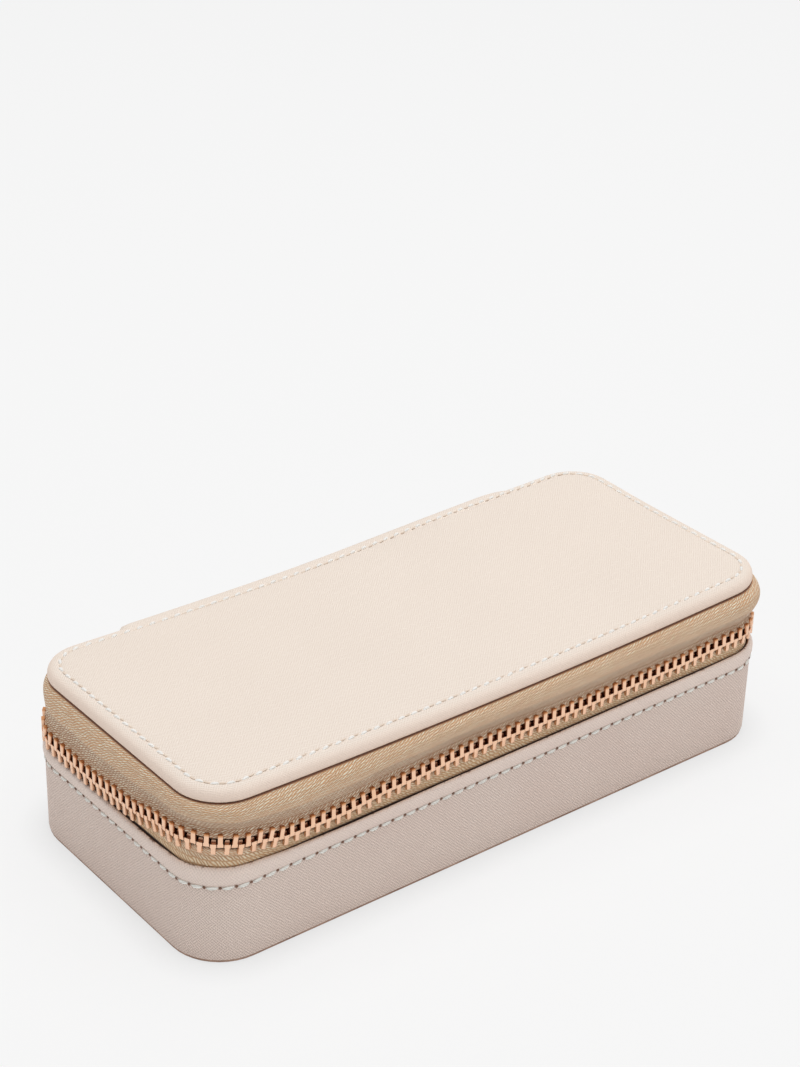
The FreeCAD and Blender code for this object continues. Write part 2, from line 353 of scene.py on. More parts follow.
def copyAlong(pattern, name, places):   # each copy has its own mesh; all are joined into one row
    twins = []
    for place in places:
        twin = pattern.copy()
        twin.data = pattern.data.copy()
        bpy.context.collection.objects.link(twin)
        twin.matrix_world = place
        twins.append(twin)
    row = joinPieces(name, twins)
    settle()
    dropPattern(pattern)
    return row


def wear(piece, *finishes):
    piece.data.materials.clear()
    for finish in finishes:
        piece.data.materials.append(finish)


def wearSecond(piece, wanted):   # faces that take the second finish
    for face in piece.data.polygons:
        if wanted(face):
            face.material_index = 1


def assign(piece, node, body):   # the node it stands for and the body it rides, where it has them
    if node:
        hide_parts(node)
    if body:
        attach(piece, body)


# Shader helpers

def colour(red, green, blue):   # written as seen on a screen, 0 to 255
    def toLinear(value):
        value = value / 255
        return value / 12.92 if value <= 0.04045 else ((value + 0.055) / 1.055) ** 2.4
    return (toLinear(red), toLinear(green), toLinear(blue), 1)


def feed(tree, sockets, values):   # links a socket or sets a plain value
    for key, value in values.items():
        if isinstance(value, bpy.types.NodeSocket):
            tree.links.new(value, sockets[key])
        else:
            sockets[key].default_value = value


def addNode(tree, kind, inputs=None, **settings):
    made = tree.nodes.new(kind)
    for key, value in settings.items():
        setattr(made, key, value)
    feed(tree, made.inputs, inputs or {})
    return made


def mathNode(tree, operation, first, second=0.5, third=0.5):
    return addNode(tree, "ShaderNodeMath", {0: first, 1: second, 2: third}, operation=operation).outputs[0]


def blendColour(tree, share, *pair):
    first, second = (colour(*value) if isinstance(value, tuple) else value for value in pair)
    return addNode(tree, "ShaderNodeMix", {"Factor": share, 6: first, 7: second}, data_type="RGBA").outputs[2]


def rangeNode(tree, value, fromLow, fromHigh, toLow, toHigh):
    return addNode(tree, "ShaderNodeMapRange", {0: value, 1: fromLow, 2: fromHigh, 3: toLow, 4: toHigh}).outputs[0]


def noise(tree, place, scale, detail):
    return addNode(tree, "ShaderNodeTexNoise", {"Vector": place, "Scale": scale, "Detail": detail}).outputs[0]


def nookNode(tree, distance):
    return addNode(tree, "ShaderNodeAmbientOcclusion", {"Distance": distance}, samples=8).outputs["AO"]


def bumpNode(tree, height, distance, strength=1.0):
    return addNode(tree, "ShaderNodeBump", {"Height": height, "Distance": distance, "Strength": strength}).outputs[0]


def noted(tree, name):   # a value noted on the mesh
    return addNode(tree, "ShaderNodeAttribute", attribute_name=name).outputs["Fac"]


def newGroup(name, inputs, outputs):   # inputs without a value are vectors, all the rest are numbers
    tree = bpy.data.node_groups.new(name, "ShaderNodeTree")
    for label, value in inputs.items():
        kind = "NodeSocketVector" if value is None else "NodeSocketFloat"
        socket = tree.interface.new_socket(label, in_out="INPUT", socket_type=kind)
        if value is not None:
            socket.default_value = value
    for label in outputs:
        tree.interface.new_socket(label, in_out="OUTPUT", socket_type="NodeSocketFloat")
    return tree, tree.nodes.new("NodeGroupInput").outputs, tree.nodes.new("NodeGroupOutput").inputs


def useGroup(tree, group, inputs):
    return addNode(tree, "ShaderNodeGroup", inputs, node_tree=group).outputs


def newFinish(name, scale=None):   # a finish, its sockets, the place on the piece and its soft variation
    finish = bpy.data.materials.new(name)
    finish.use_nodes = True
    tree = finish.node_tree
    place = addNode(tree, "ShaderNodeTexCoord").outputs["Object"]
    change = useGroup(tree, softVariation, {"Place": place, "Scale": scale}) if scale else None
    return finish, tree, tree.nodes["Principled BSDF"].inputs, place, change


# Camera at the photograph's place

cameraSeat = {"azimuth": -38.583, "elevation": 27.992, "roll": 1.612, "distance": 590.6 * mm, "lens": 78.37,
              "sensor": 36, "nearest": 0.01, "across": -2.96 * mm, "up": 41.62 * mm, "aim": 22 * mm}


def placeCamera():
    azimuth, elevation, roll = (math.radians(cameraSeat[key]) for key in ("azimuth", "elevation", "roll"))
    back = Vector((math.sin(azimuth) * math.cos(elevation), -math.cos(azimuth) * math.cos(elevation),
                   math.sin(elevation)))
    right = Vector((math.cos(azimuth), math.sin(azimuth), 0))
    up = back.cross(right)
    across = right * math.cos(roll) + up * math.sin(roll)
    upright = up * math.cos(roll) - right * math.sin(roll)
    seat = across * cameraSeat["across"] + upright * cameraSeat["up"] + Vector((0, 0, cameraSeat["aim"]))
    seat = seat + back * cameraSeat["distance"]
    bpy.ops.object.camera_add()
    camera = bpy.context.object
    camera.matrix_world = Matrix.Translation(seat) @ facing(across, upright, back)
    camera.data.lens = cameraSeat["lens"]
    camera.data.sensor_width = cameraSeat["sensor"]
    camera.data.clip_start = cameraSeat["nearest"]
    bpy.context.scene.camera = camera


placeCamera()
print("camera placed")

# Pale floor and soft studio light

studio = {"floor": (247, 247, 247), "floorSize": 8, "sky": 0.42, "seenSky": 0.93, "glow": 0.83,
          "lamp": 13.0, "lampAt": (0.12, -0.05, 1.25), "lampSize": 1.5,
          "contactReach": 9.0 * mm, "contactShade": 0.88}   # painted shadow: an occlusion node dims the floor's glow where the case meets it


def makeStudio():
    scene = bpy.context.scene
    scene.view_settings.view_transform = "Standard"
    bpy.ops.mesh.primitive_plane_add(size=studio["floorSize"], location=(0, 0, 0))
    floor = named("studioFloor")
    finish = bpy.data.materials.new("paleFloor")
    finish.use_nodes = True
    tree = finish.node_tree
    tree.nodes.clear()
    pale = colour(*studio["floor"])
    paint = addNode(tree, "ShaderNodeBsdfDiffuse", {"Color": pale})
    # painted shadow on the floor: the glow falls off next to the case
    strength = rangeNode(tree, nookNode(tree, studio["contactReach"]), 0.5, 1.0, studio["contactShade"], 1.0)
    glow = addNode(tree, "ShaderNodeEmission", {"Color": pale, "Strength": strength})
    ray = addNode(tree, "ShaderNodeLightPath")
    seen = mathNode(tree, "MULTIPLY", ray.outputs["Is Camera Ray"], studio["glow"])
    mix = addNode(tree, "ShaderNodeMixShader", {0: seen, 1: paint.outputs[0], 2: glow.outputs[0]})
    addNode(tree, "ShaderNodeOutputMaterial", {"Surface": mix.outputs[0]})
    wear(floor, finish)
    world = bpy.data.worlds.new("softSky")
    scene.world = world
    world.use_nodes = True
    tree = world.node_tree
    ray = addNode(tree, "ShaderNodeLightPath")
    seen = mathNode(tree, "MAXIMUM", ray.outputs["Is Camera Ray"], ray.outputs["Is Glossy Ray"])
    seen = mathNode(tree, "MAXIMUM", seen, ray.outputs["Is Transmission Ray"])
    feed(tree, tree.nodes["Background"].inputs, {
        "Color": (1, 1, 1, 1), "Strength": rangeNode(tree, seen, 0, 1, studio["sky"], studio["seenSky"])})
    bpy.ops.object.light_add(type="AREA", location=studio["lampAt"])
    lamp = bpy.context.object
    lamp.name = "softBox"
    lamp.data.shape = "SQUARE"
    lamp.data.size = studio["lampSize"]
    lamp.data.energy = studio["lamp"]


makeStudio()
print("floor and light set")


# Shared effects

hatchLook = {"drift": 420.0, "driftBy": 6.0, "patches": 900.0, "patchShare": (0.35, 0.65, 0.45, 1.0), "balance": 1.35}
twillLook = {"drift": 260.0, "rowDrift": 0.9, "alongDrift": 1.6,
             "stroke": (-0.75, 0.35, 0, 1), "ends": (0.3, 0.5, 1.0, 0.0)}
diagonal = 0.7071


def makeCrossHatch():
    tree, given, wanted = newGroup(
        "crossHatch", {"Cloth": None, "Pitch": 0.46 * mm, "Waver": 0.12}, ("Height", "Groove"))
    split = addNode(tree, "ShaderNodeSeparateXYZ", {0: given["Cloth"]}).outputs
    drift = mathNode(tree, "SUBTRACT", noise(tree, given["Cloth"], hatchLook["drift"], 2.0), 0.5)
    drift = mathNode(tree, "MULTIPLY", drift, given["Waver"])
    ridges = []
    for operation in ("ADD", "SUBTRACT"):
        across = mathNode(tree, "MULTIPLY", mathNode(tree, operation, split[0], split[1]), diagonal)
        count = mathNode(tree, "DIVIDE", across, given["Pitch"])
        count = mathNode(tree, "MULTIPLY_ADD", drift, hatchLook["driftBy"], count)
        wave = mathNode(tree, "COSINE", mathNode(tree, "MULTIPLY", count, 2 * math.pi))
        ridges.append(mathNode(tree, "MULTIPLY_ADD", wave, 0.5, 0.5))
    patch = rangeNode(tree, noise(tree, given["Cloth"], hatchLook["patches"], 1.0), *hatchLook["patchShare"])
    first = mathNode(tree, "MULTIPLY", ridges[0], patch)
    second = mathNode(tree, "MULTIPLY", ridges[1], mathNode(tree, "SUBTRACT", hatchLook["balance"], patch))
    height = mathNode(tree, "MAXIMUM", first, second)
    feed(tree, wanted, {"Height": height, "Groove": mathNode(tree, "SUBTRACT", 1.0, height)})
    return tree


def makeSoftVariation():
    tree, given, wanted = newGroup("softVariation", {"Place": None, "Scale": 40.0}, ("Broad", "Fine"))
    near = mathNode(tree, "MULTIPLY", given["Scale"], 30.0)
    feed(tree, wanted, {"Broad": noise(tree, given["Place"], given["Scale"], 3.0),
                        "Fine": noise(tree, given["Place"], near, 2.0)})
    return tree


def makeTwill():
    tree, given, wanted = newGroup(
        "twillStrokes", {"Cloth": None, "Row": 0.9 * mm, "Pitch": 1.35 * mm, "Slant": 1.3, "Stagger": 0.4},
        ("Height", "Thread"))
    split = addNode(tree, "ShaderNodeSeparateXYZ", {0: given["Cloth"]}).outputs
    drift = mathNode(tree, "SUBTRACT", noise(tree, given["Cloth"], twillLook["drift"], 2.0), 0.5)
    row = mathNode(tree, "DIVIDE", split[1], given["Row"])
    row = mathNode(tree, "MULTIPLY_ADD", drift, twillLook["rowDrift"], row)
    step = mathNode(tree, "FLOOR", row)
    inRow = mathNode(tree, "FRACT", row)
    shift = mathNode(tree, "MULTIPLY_ADD", inRow, given["Slant"], mathNode(tree, "MULTIPLY", step, given["Stagger"]))
    along = mathNode(tree, "ADD", mathNode(tree, "DIVIDE", split[0], given["Pitch"]), shift)
    along = mathNode(tree, "MULTIPLY_ADD", drift, twillLook["alongDrift"], along)
    wave = mathNode(tree, "COSINE", mathNode(tree, "MULTIPLY", along, 2 * math.pi))
    wave = rangeNode(tree, wave, *twillLook["stroke"])
    edge = mathNode(tree, "ABSOLUTE", mathNode(tree, "SUBTRACT", inRow, 0.5))
    edge = rangeNode(tree, edge, *twillLook["ends"])
    number = mathNode(tree, "FLOOR", mathNode(tree, "ADD", along, 0.5))
    strand = addNode(tree, "ShaderNodeCombineXYZ", {0: number, 1: step}).outputs[0]
    feed(tree, wanted, {"Height": mathNode(tree, "MULTIPLY", wave, edge),
                        "Thread": addNode(tree, "ShaderNodeTexWhiteNoise", {"Vector": strand}).outputs[0]})
    return tree


crossHatch = makeCrossHatch()
softVariation = makeSoftVariation()
twillStrokes = makeTwill()


# Finishes. Ranges are from low, from high, to low, to high

leatherLooks = {
    "lidLeathercloth": {
        "pale": (251, 240, 229), "deep": (249, 238, 227), "groove": (196, 172, 152), "grooveTint": 0.5, "rough": 0.66,
        "depth": 0.06 * mm, "pitch": 0.56 * mm,
        # the roll colour is painted shade on the outward side of the lid's rolled edge
        "rollShadeTint": (252, 230, 214), "rollIn": (3.0 * mm, 5.0 * mm, 0, 0.9), "rollOut": (6.4 * mm, 8.8 * mm, 1, 0)},
    "baseLeathercloth": {
        "pale": (255, 238, 227), "deep": (252, 233, 222), "groove": (158, 133, 121), "grooveTint": 0.6, "rough": 0.6,
        "depth": 0.1 * mm, "pitch": 0.6 * mm, "flatten": (22.2 * mm, 23.6 * mm, 1, 0.45),
        # the speck colour below is painted shade at the rim's edge
        "rimShade": (120, 86, 70), "rimShadeIn": (26.9 * mm, 27.5 * mm, 0, 1)},
}

leatherBoth = {"scale": 35.0, "spread": (0.35, 0.65, 0, 1), "fineRelief": 0.25, "shine": 0.2, "smoother": 0.05,
               "rougher": 0.12, "spotScale": 700.0, "spotMore": 0.1, "spots": (0.64, 0.74, 0, 0.8)}


def makeLeathercloth(name):
    look = {**leatherBoth, **leatherLooks[name]}
    finish, tree, skin, place, change = newFinish(name, look["scale"])
    cloth = addNode(tree, "ShaderNodeUVMap", uv_map="cloth").outputs[0]
    hatch = useGroup(tree, crossHatch, {"Cloth": cloth, "Pitch": look["pitch"]})
    tint = blendColour(tree, rangeNode(tree, change["Broad"], *look["spread"]), look["pale"], look["deep"])
    deep = mathNode(tree, "MULTIPLY", hatch["Groove"], look["grooveTint"])
    run = noted(tree, "run")
    if "flatten" in look:   # the emboss stretches flat on a roll
        deep = mathNode(tree, "MULTIPLY", deep, rangeNode(tree, run, *look["flatten"]))
    tint = blendColour(tree, deep, tint, look["groove"])
    if "rollShadeTint" in look:   # painted shade: the outward side of the rolled edge is tinted warmer and a little darker
        turned = mathNode(
            tree, "MULTIPLY", rangeNode(tree, run, *look["rollIn"]), rangeNode(tree, run, *look["rollOut"]))
        tint = blendColour(tree, turned, tint, look["rollShadeTint"])
    if "rimShade" in look:   # painted shade: brown specks along the turned edge at the rim, where the tape meets it
        near = rangeNode(tree, run, *look["rimShadeIn"])
        spots = mathNode(tree, "MULTIPLY_ADD", near, look["spotMore"], noise(tree, place, look["spotScale"], 3.0))
        spots = rangeNode(tree, spots, *look["spots"])
        tint = blendColour(tree, mathNode(tree, "MULTIPLY", spots, near), tint, look["rimShade"])
    relief = mathNode(tree, "MULTIPLY_ADD", change["Fine"], look["fineRelief"], hatch["Height"])
    low, high = look["rough"] - look["smoother"], look["rough"] + look["rougher"]
    feed(tree, skin, {
        "Base Color": tint, "Specular IOR Level": look["shine"], "Normal": bumpNode(tree, relief, look["depth"]),
        "Roughness": rangeNode(tree, hatch["Groove"], 0, 1, low, high)})
    return finish


lidLeather = makeLeathercloth("lidLeathercloth")
baseLeather = makeLeathercloth("baseLeathercloth")

plainLooks = {
    # dark brown edge paint, also used as painted shade under the lid's edge, inside the rim and on the tape under the
    # lid
    "edgePaintAndShade": {"scale": 90.0, "pale": (156, 110, 84), "deep": (124, 86, 64), "rough": (0, 1, 0.6, 0.85)},
    "cutEdgeBoard": {"scale": 160.0, "pale": (196, 162, 142), "deep": (160, 126, 106), "spread": (0.35, 0.65, 0, 1),
                     "rough": (0.2, 0.8, 0.55, 0.8), "grain": 0.06 * mm},
    # painted shade: the needle holes and the sunk parts of the lid stitches are coloured darker
    "needleHoleShade": {"scale": 300.0, "pale": (140, 106, 88), "deep": (108, 80, 66), "rough": 0.9},
    "sunkStitchShade": {"scale": 300.0, "pale": (236, 220, 204), "deep": (220, 201, 183), "rough": 0.9},
    "greyCard": {"scale": 120.0, "pale": (146, 138, 128), "deep": (120, 112, 102), "rough": 0.9,
                 "specks": (0.4, 0.7, 0, 0.5), "grain": 0.08 * mm},
    "openFoam": {"scale": 260.0, "pale": (238, 233, 224), "deep": (214, 206, 194), "rough": 0.95,
                 "specks": (0.4, 0.7, 0, 0.5), "grain": 0.08 * mm},
}


def makePlain(name):
    look = plainLooks[name]
    finish, tree, skin, place, change = newFinish(name, look["scale"])
    share = rangeNode(tree, change["Broad"], *look["spread"]) if "spread" in look else change["Broad"]
    tint = blendColour(tree, share, look["pale"], look["deep"])
    if "specks" in look:
        tint = blendColour(tree, rangeNode(tree, change["Fine"], *look["specks"]), tint, look["deep"])
    rough = look["rough"]
    if isinstance(rough, tuple):
        rough = rangeNode(tree, change["Fine"], *rough)
    feed(tree, skin, {"Base Color": tint, "Roughness": rough})
    if "grain" in look:
        feed(tree, skin, {"Normal": bumpNode(tree, change["Fine"], look["grain"])})
    return finish


plain = {name: makePlain(name) for name in plainLooks}

tapeLook = {
    "coarse": {"stroke": (255, 248, 224), "gap": (218, 164, 116),
               "weave": {"Row": 0.84 * mm, "Pitch": 1.25 * mm, "Slant": 1.5, "Stagger": 0.42}},
    "fine": {"stroke": (255, 250, 226), "gap": (178, 126, 88),
             "weave": {"Row": 0.8 * mm, "Pitch": 1.12 * mm, "Slant": 1.3, "Stagger": 0.45}},
    "scale": 120.0, "rough": 0.75, "sheen": 0.1, "fineRelief": 0.3, "strands": (0, 1, 0.6, 1.1),
    "fineFrom": (9.8 * mm, 10.6 * mm, 0, 1), "waver": 1.5 * mm, "relief": 0.13 * mm,
    # this colour is painted shade: the tape darkens towards the teeth
    "teethShade": (198, 154, 122), "teethShadeFrom": (8.5 * mm, 13.0 * mm, 0, 0.25), "specks": (0.35, 0.7, 0, 0.25),
    "fineBelow": (4.0, 6.0, 1, 0),   # these three count from the rim, in mm
    # painted light: the lower tape is brightened against the shade of the chain above it
    "lowPaintedLight": (252, 210, 158), "lowLightBelow": (2.0, 5.5, 0.45, 0),
    # painted shade in the gap between the lower tape and the rim
    "gapShade": (58, 36, 26), "gapBelow": (0.35, 0.75, 1, 0),
}


def makeTapeCloth():
    look = tapeLook
    finish, tree, skin, place, change = newFinish("zipTapeCloth", look["scale"])
    cloth = addNode(tree, "ShaderNodeUVMap", uv_map="cloth").outputs[0]
    down = addNode(tree, "ShaderNodeSeparateXYZ", {0: cloth}).outputs[1]
    overRim = noted(tree, "overRim")
    tints, reliefs = [], []
    for key in ("coarse", "fine"):
        strokes = useGroup(tree, twillStrokes, {"Cloth": cloth, **look[key]["weave"]})
        lit = mathNode(tree, "MULTIPLY", strokes["Height"], rangeNode(tree, strokes["Thread"], *look["strands"]))
        tints.append(blendColour(tree, lit, look[key]["gap"], look[key]["stroke"]))
        reliefs.append(strokes["Height"])
    turn = rangeNode(tree, mathNode(tree, "MULTIPLY_ADD", change["Broad"], look["waver"], down), *look["fineFrom"])
    turn = mathNode(tree, "MAXIMUM", turn, rangeNode(tree, overRim, *look["fineBelow"]))   # the lower tape is all fine
    tint = blendColour(tree, turn, *tints)
    tint = blendColour(tree, rangeNode(tree, down, *look["teethShadeFrom"]), tint, look["teethShade"])   # painted shade: darker towards the teeth
    tint = blendColour(tree, rangeNode(tree, change["Fine"], *look["specks"]), tint, look["fine"]["gap"])
    # painted light on the lower tape, below the chain
    tint = blendColour(tree, rangeNode(tree, overRim, *look["lowLightBelow"]), tint, look["lowPaintedLight"])
    tint = blendColour(tree, rangeNode(tree, overRim, *look["gapBelow"]), tint, look["gapShade"])   # painted shade in the gap at the rim
    relief = mathNode(tree, "MULTIPLY_ADD", turn, mathNode(tree, "SUBTRACT", reliefs[1], reliefs[0]), reliefs[0])
    relief = mathNode(tree, "MULTIPLY_ADD", change["Fine"], look["fineRelief"], relief)
    feed(tree, skin, {"Base Color": tint, "Roughness": look["rough"], "Sheen Weight": look["sheen"],
                      "Normal": bumpNode(tree, relief, look["relief"])})
    return finish


tapeCloth = makeTapeCloth()
metalLook = {
    # the colour for the ends of the upper teeth is painted shade
    "scale": 220.0, "pale": (251, 212, 184), "deep": (242, 194, 158), "capShade": (204, 138, 84),
    # the nook colour is painted shade in the gaps between the teeth
    "capFrom": (0.78, 0.95, 0, 0.85), "nookShade": (98, 48, 26), "nookReach": 1.5 * mm, "nookFrom": (0.36, 0.95, 0, 1),
    "rough": (0.3, 0.7, 0.16, 0.28),
}


def makeRoseGold():
    look = metalLook
    finish, tree, skin, place, change = newFinish("roseGold", look["scale"])
    tint = blendColour(tree, change["Broad"], look["pale"], look["deep"])
    cap = rangeNode(tree, noted(tree, "cap"), *look["capFrom"])
    tint = blendColour(tree, cap, tint, look["capShade"])   # painted shade: the ends of the upper teeth, under the tape, are darker
    unshaded = rangeNode(tree, nookNode(tree, look["nookReach"]), *look["nookFrom"])   # painted shade: an occlusion node darkens the nooks between the teeth
    feed(tree, skin, {"Base Color": blendColour(tree, unshaded, look["nookShade"], tint), "Metallic": 1.0,
                      "Roughness": rangeNode(tree, change["Fine"], *look["rough"])})
    return finish


roseGold = makeRoseGold()


threadLook = {"scale": 900.0, "twist": 1.5, "rough": 0.6, "relief": 0.05 * mm}


def makeThread(name, pale, deep):
    look = threadLook
    finish, tree, skin, place, change = newFinish(name)
    ply = addNode(tree, "ShaderNodeTexWave", {"Vector": place, "Scale": look["scale"], "Distortion": look["twist"]},
                  bands_direction="DIAGONAL").outputs["Fac"]
    feed(tree, skin, {"Base Color": blendColour(tree, ply, deep, pale), "Roughness": look["rough"],
                      "Normal": bumpNode(tree, ply, look["relief"])})
    return finish


lidThread = makeThread("lidThread", (255, 255, 253), (236, 230, 222))
baseThread = makeThread("baseThread", (255, 255, 250), (226, 224, 216))
print("finishes mixed")


# Base: leathercloth wall with a soft rolled rim and a sunk stitch line

baseWall = {
    "profile": [(2.0, 0.6), (0.9, 0.6), (0.62, 0.75), (0.5, 1.2), (0.5, 6), (0.5, 12), (0.5, 17), (0.5, 20.2),
                (0.55, 21.0), (0.75, 21.5), (0.78, 21.9), (0.5, 22.4), (0.18, 23.1), (0.02, 23.9), (0.0, 24.6),
                (0.12, 25.3), (0.45, 25.8), (0.85, 26.0), (1.25, 26.0), (1.55, 25.8), (1.65, 25.4), (1.65, 22.0)],
    "turnedFrom": 18,   # first loop of the turned edge inside the rim, which wears edge paint and painted shade
    "lean": [(0, 0), (140, 0), (152, 0.7), (168, 0.9), (180, 0.5), (200, 0), (496, 0)],   # mm inwards, front left
    "leanFrom": 22, "leanOver": 3.6, "leanCurve": 1.5,
    "slump": [(80, 0.0), (92, -0.3), (108, 0.1), (148, 0.0), (160, -0.5), (172, -0.2), (184, 0.4), (206, 0.35),
              (226, 0.2), (310, 0.15), (332, -0.2), (350, 0.0)],   # how far the turned edge sinks, mm
    "slumpFrom": 15, "slumpOver": 3,   # loops
}


def makeBaseCover():
    look = baseWall
    piece = wallFrom("baseCover", look["profile"])
    layClothRound(piece)
    wear(piece, baseLeather, plain["edgePaintAndShade"])
    rings = piece.data.attributes["ring"].data
    wearSecond(piece, lambda face: min(rings[v].value for v in face.vertices) >= look["turnedFrom"])

    def placed(co, ring):
        walk = walkTo(co.x, co.y)
        slump = easeAlong(look["slump"], walk) * mm * clamp((ring - look["slumpFrom"]) / look["slumpOver"])
        high = clamp((co.z / mm - look["leanFrom"]) / look["leanOver"])
        lean = easeAlong(look["lean"], walk) * mm * high ** look["leanCurve"]
        core, way, reach = fromCore(co.x, co.y)
        spot = core + way * (reach - lean)
        return Vector((spot.x, spot.y, co.z + rimLift(co.x, co.z) - slump))

    moveVerts(piece, placed)
    smooth(piece, 60)
    assign(piece, "base_cover", "base")


makeBaseCover()
print("base cover drawn")

# Lid: padded leathercloth top with a rolled edge and a stitch furrow

lidPad = {
    "profile": [(7.0, 43.05), (3.4, 43.05), (2.7, 43.08), (2.25, 43.2), (2.05, 43.5), (2.0, 43.95), (2.06, 44.45),
                (2.2, 45.0), (2.5, 45.55), (2.98, 45.96), (3.55, 46.22), (4.15, 46.36), (4.65, 46.33), (4.98, 46.2),
                (5.25, 46.2), (5.6, 46.4), (6.3, 46.56), (7.5, 46.65), (9.5, 46.7), (12.5, 46.7)],
    "underTo": 43.3, "puffFrom": 43, "puffOver": 3,
}


def cutAcross(piece):   # lets a broad flat face follow the bow of the lid
    editOn(piece)
    cuts = round(2 * coreX / caseShape["runStep"])
    for cut in range(1, cuts):
        pickFaces(piece, lambda middle, normal: abs(middle.y) < 5 * mm and abs(normal.z) > 0.9)
        bpy.ops.mesh.bisect(plane_co=(-coreX + cut * 2 * coreX / cuts, 0, 0), plane_no=(1, 0, 0))
    editOff()


def makeLidCover():
    look = lidPad
    piece = wallFrom("lidCover", look["profile"], cap=True)
    cutAcross(piece)
    cloth = piece.data.uv_layers.new(name="cloth")
    runs = piece.data.attributes["run"].data
    lastRun = max(item.value for item in runs)
    lastReach = caseShape["corner"] - look["profile"][-1][0] * mm
    for face in piece.data.polygons:
        for loop, v in zip(face.loop_indices, face.vertices):
            co = piece.data.vertices[v].co
            core, way, reach = fromCore(co.x, co.y)
            flat = core + way * (lastReach + lastRun - runs[v].value) if reach > 0.1 * mm else Vector((co.x, co.y))
            cloth.data[loop].uv = flat
    wear(piece, lidLeather, plain["edgePaintAndShade"])
    # the underside of the lid's edge wears edge paint, which also stands as painted shade in the gap under the lid
    wearSecond(piece, lambda face: face.center.z < look["underTo"] * mm)

    def lift(co):
        share = clamp((co.z / mm - look["puffFrom"]) / look["puffOver"])
        return lidLift(co.x) + puffLift(co.x, co.y) * share

    raiseBy(piece, lift)
    smooth(piece, 60)
    assign(piece, "lid_cover", "lid")


makeLidCover()
print("lid cover drawn")

# Zip: the soft tapes let the chain dip between the corners

zipChain = {
    "height": [(60, 31.0), (84, 30.3), (100, 28.7), (116, 28.7), (132, 29.9), (147, 32.1), (156, 32.8), (164, 32.6),
               (172, 31.7), (182, 29.9), (196, 29.7), (212, 31.0), (236, 32.1), (270, 31.4), (300, 31.7), (320, 32.4),
               (334, 32.5), (346, 32.0), (420, 32.0)],
    "inset": [(60, 2.1), (84, 1.6), (100, 1.25), (132, 1.4), (146, 2.0), (156, 2.4), (167, 2.1), (182, 1.7), (320, 1.8),
              (346, 2.1)],
    "pitch": 2.9, "count": 105, "start": 68.6, "cornerInset": 2.1,   # start: walk of the first tooth, on the back
    "upperStretch": [(0, 1), (496, 1)],
    "lowerStretch": [(0, 1.25), (146, 1.25), (164, 1.05), (176, 1), (496, 1)],
}


def chainHeight(walk):
    return easeAlong(zipChain["height"], walk) * mm


def chainInset(walk):
    return easeAlong(zipChain["inset"], walk) * mm


upperTape = {
    "fall": [(0.0, 5.2), (0.0, 3.0), (0.018, 2.45), (0.035, 2.1), (0.09, 1.25), (0.19, 0.5), (0.35, 0.1), (0.5, 0.15),
             (0.67, 0.55), (0.82, 1.0), (0.92, 1.4)],   # share of the fall, inset
    "bead": [(3.5, 0.1), (2.7, -0.35), (1.95, -0.7), (1.35, -0.72), (0.95, -0.45), (0.8, 0.3)],   # height, added inset
    "bulge": [(60, -0.3), (84, -0.9), (140, -0.8), (156, -0.2), (180, 0.0), (300, 0.0), (322, 0.55), (334, 0.75),
              (344, 0.1), (348, -0.1), (400, -0.1)],
    "top": 43, "fallBy": 8.8, "overChain": 3.6, "chainAt": (1.8, 31),
    "dark": 3,   # loops in the lid's shade, painted dark brown as shade
    "thickness": 0.5, "width": 16,
}
lowerTape = {
    "rise": [(0.0, 0.0), (0.55, 0.0), (0.7, 0.0), (0.88, 0.5)],   # share of the rise, lean towards the chain
    "bead": [(-2.9, 0.0), (-2.6, -0.18), (-2.25, -0.34), (-1.95, -0.34), (-1.65, -0.1), (-1.55, 0.4)],
    "recess": [(84, 1.8), (144, 1.85), (154, 2.4), (170, 2.5), (184, 2.15), (206, 2.05), (226, 1.95), (310, 1.95),
               (330, 1.85)],   # at the rim
    "shadeLess": [(84, 0.2), (120, 0.1), (146, 0.2), (160, 1.1), (174, 1.0), (190, 0.8), (230, 0.75), (310, 0.75),
                  (330, 0.8)],   # mm; raises the tape's height over the rim, which narrows the painted shade there
    "foot": (2.0, 20.5), "riseBy": 8, "underChain": 2.9, "underRim": 1.5, "bendAt": 0.7, "pastRim": 0.55,
    "chainAt": (1.8, 32), "thickness": 0.5, "width": 12,
}
tapeStop = {"from": 30, "half": 58}   # no tape behind the hinge


def drawTape(name, look, profile, loops, node, body):   # loops(ring, walk, x) places all but the bead
    inset, z = look["chainAt"]
    piece = wallFrom(name, profile + [(inset + more, z + over) for over, more in look["bead"]])
    editOn(piece)
    pickFaces(piece, lambda middle, normal: middle.y > tapeStop["from"] * mm and abs(middle.x) < tapeStop["half"] * mm)
    bpy.ops.mesh.delete(type="FACE")
    editOff()
    layClothRound(piece)
    wear(piece, tapeCloth)
    # painted shade: the first loops, under the lid, wear the dark brown finish
    if "dark" in look:
        piece.data.materials.append(plain["edgePaintAndShade"])
        rings = piece.data.attributes["ring"].data
        wearSecond(piece, lambda face: max(rings[v].value for v in face.vertices) <= look["dark"])

    def placed(co, ring):
        walk = walkTo(co.x, co.y)
        if ring < len(profile):
            return setIn(co, *loops(ring, walk, co.x))
        over, more = look["bead"][ring - len(profile)]
        return setIn(co, chainInset(walk) + more * mm, chainHeight(walk) + over * mm)

    moveVerts(piece, placed)
    applyModifier(piece, "SUBSURF", levels=1, render_levels=1)
    overRim = piece.data.attributes.new("overRim", "FLOAT", "POINT").data
    for vert in piece.data.vertices:
        rim = caseShape["rim"] + rimLift(vert.co.x, caseShape["rim"])
        narrow = easeAlong(lowerTape["shadeLess"], walkTo(vert.co.x, vert.co.y))
        overRim[vert.index].value = (vert.co.z - rim) / mm + narrow
    applyModifier(piece, "SOLIDIFY", thickness=look["thickness"] * mm, offset=-1)
    smooth(piece, 60)
    assign(piece, node, body)


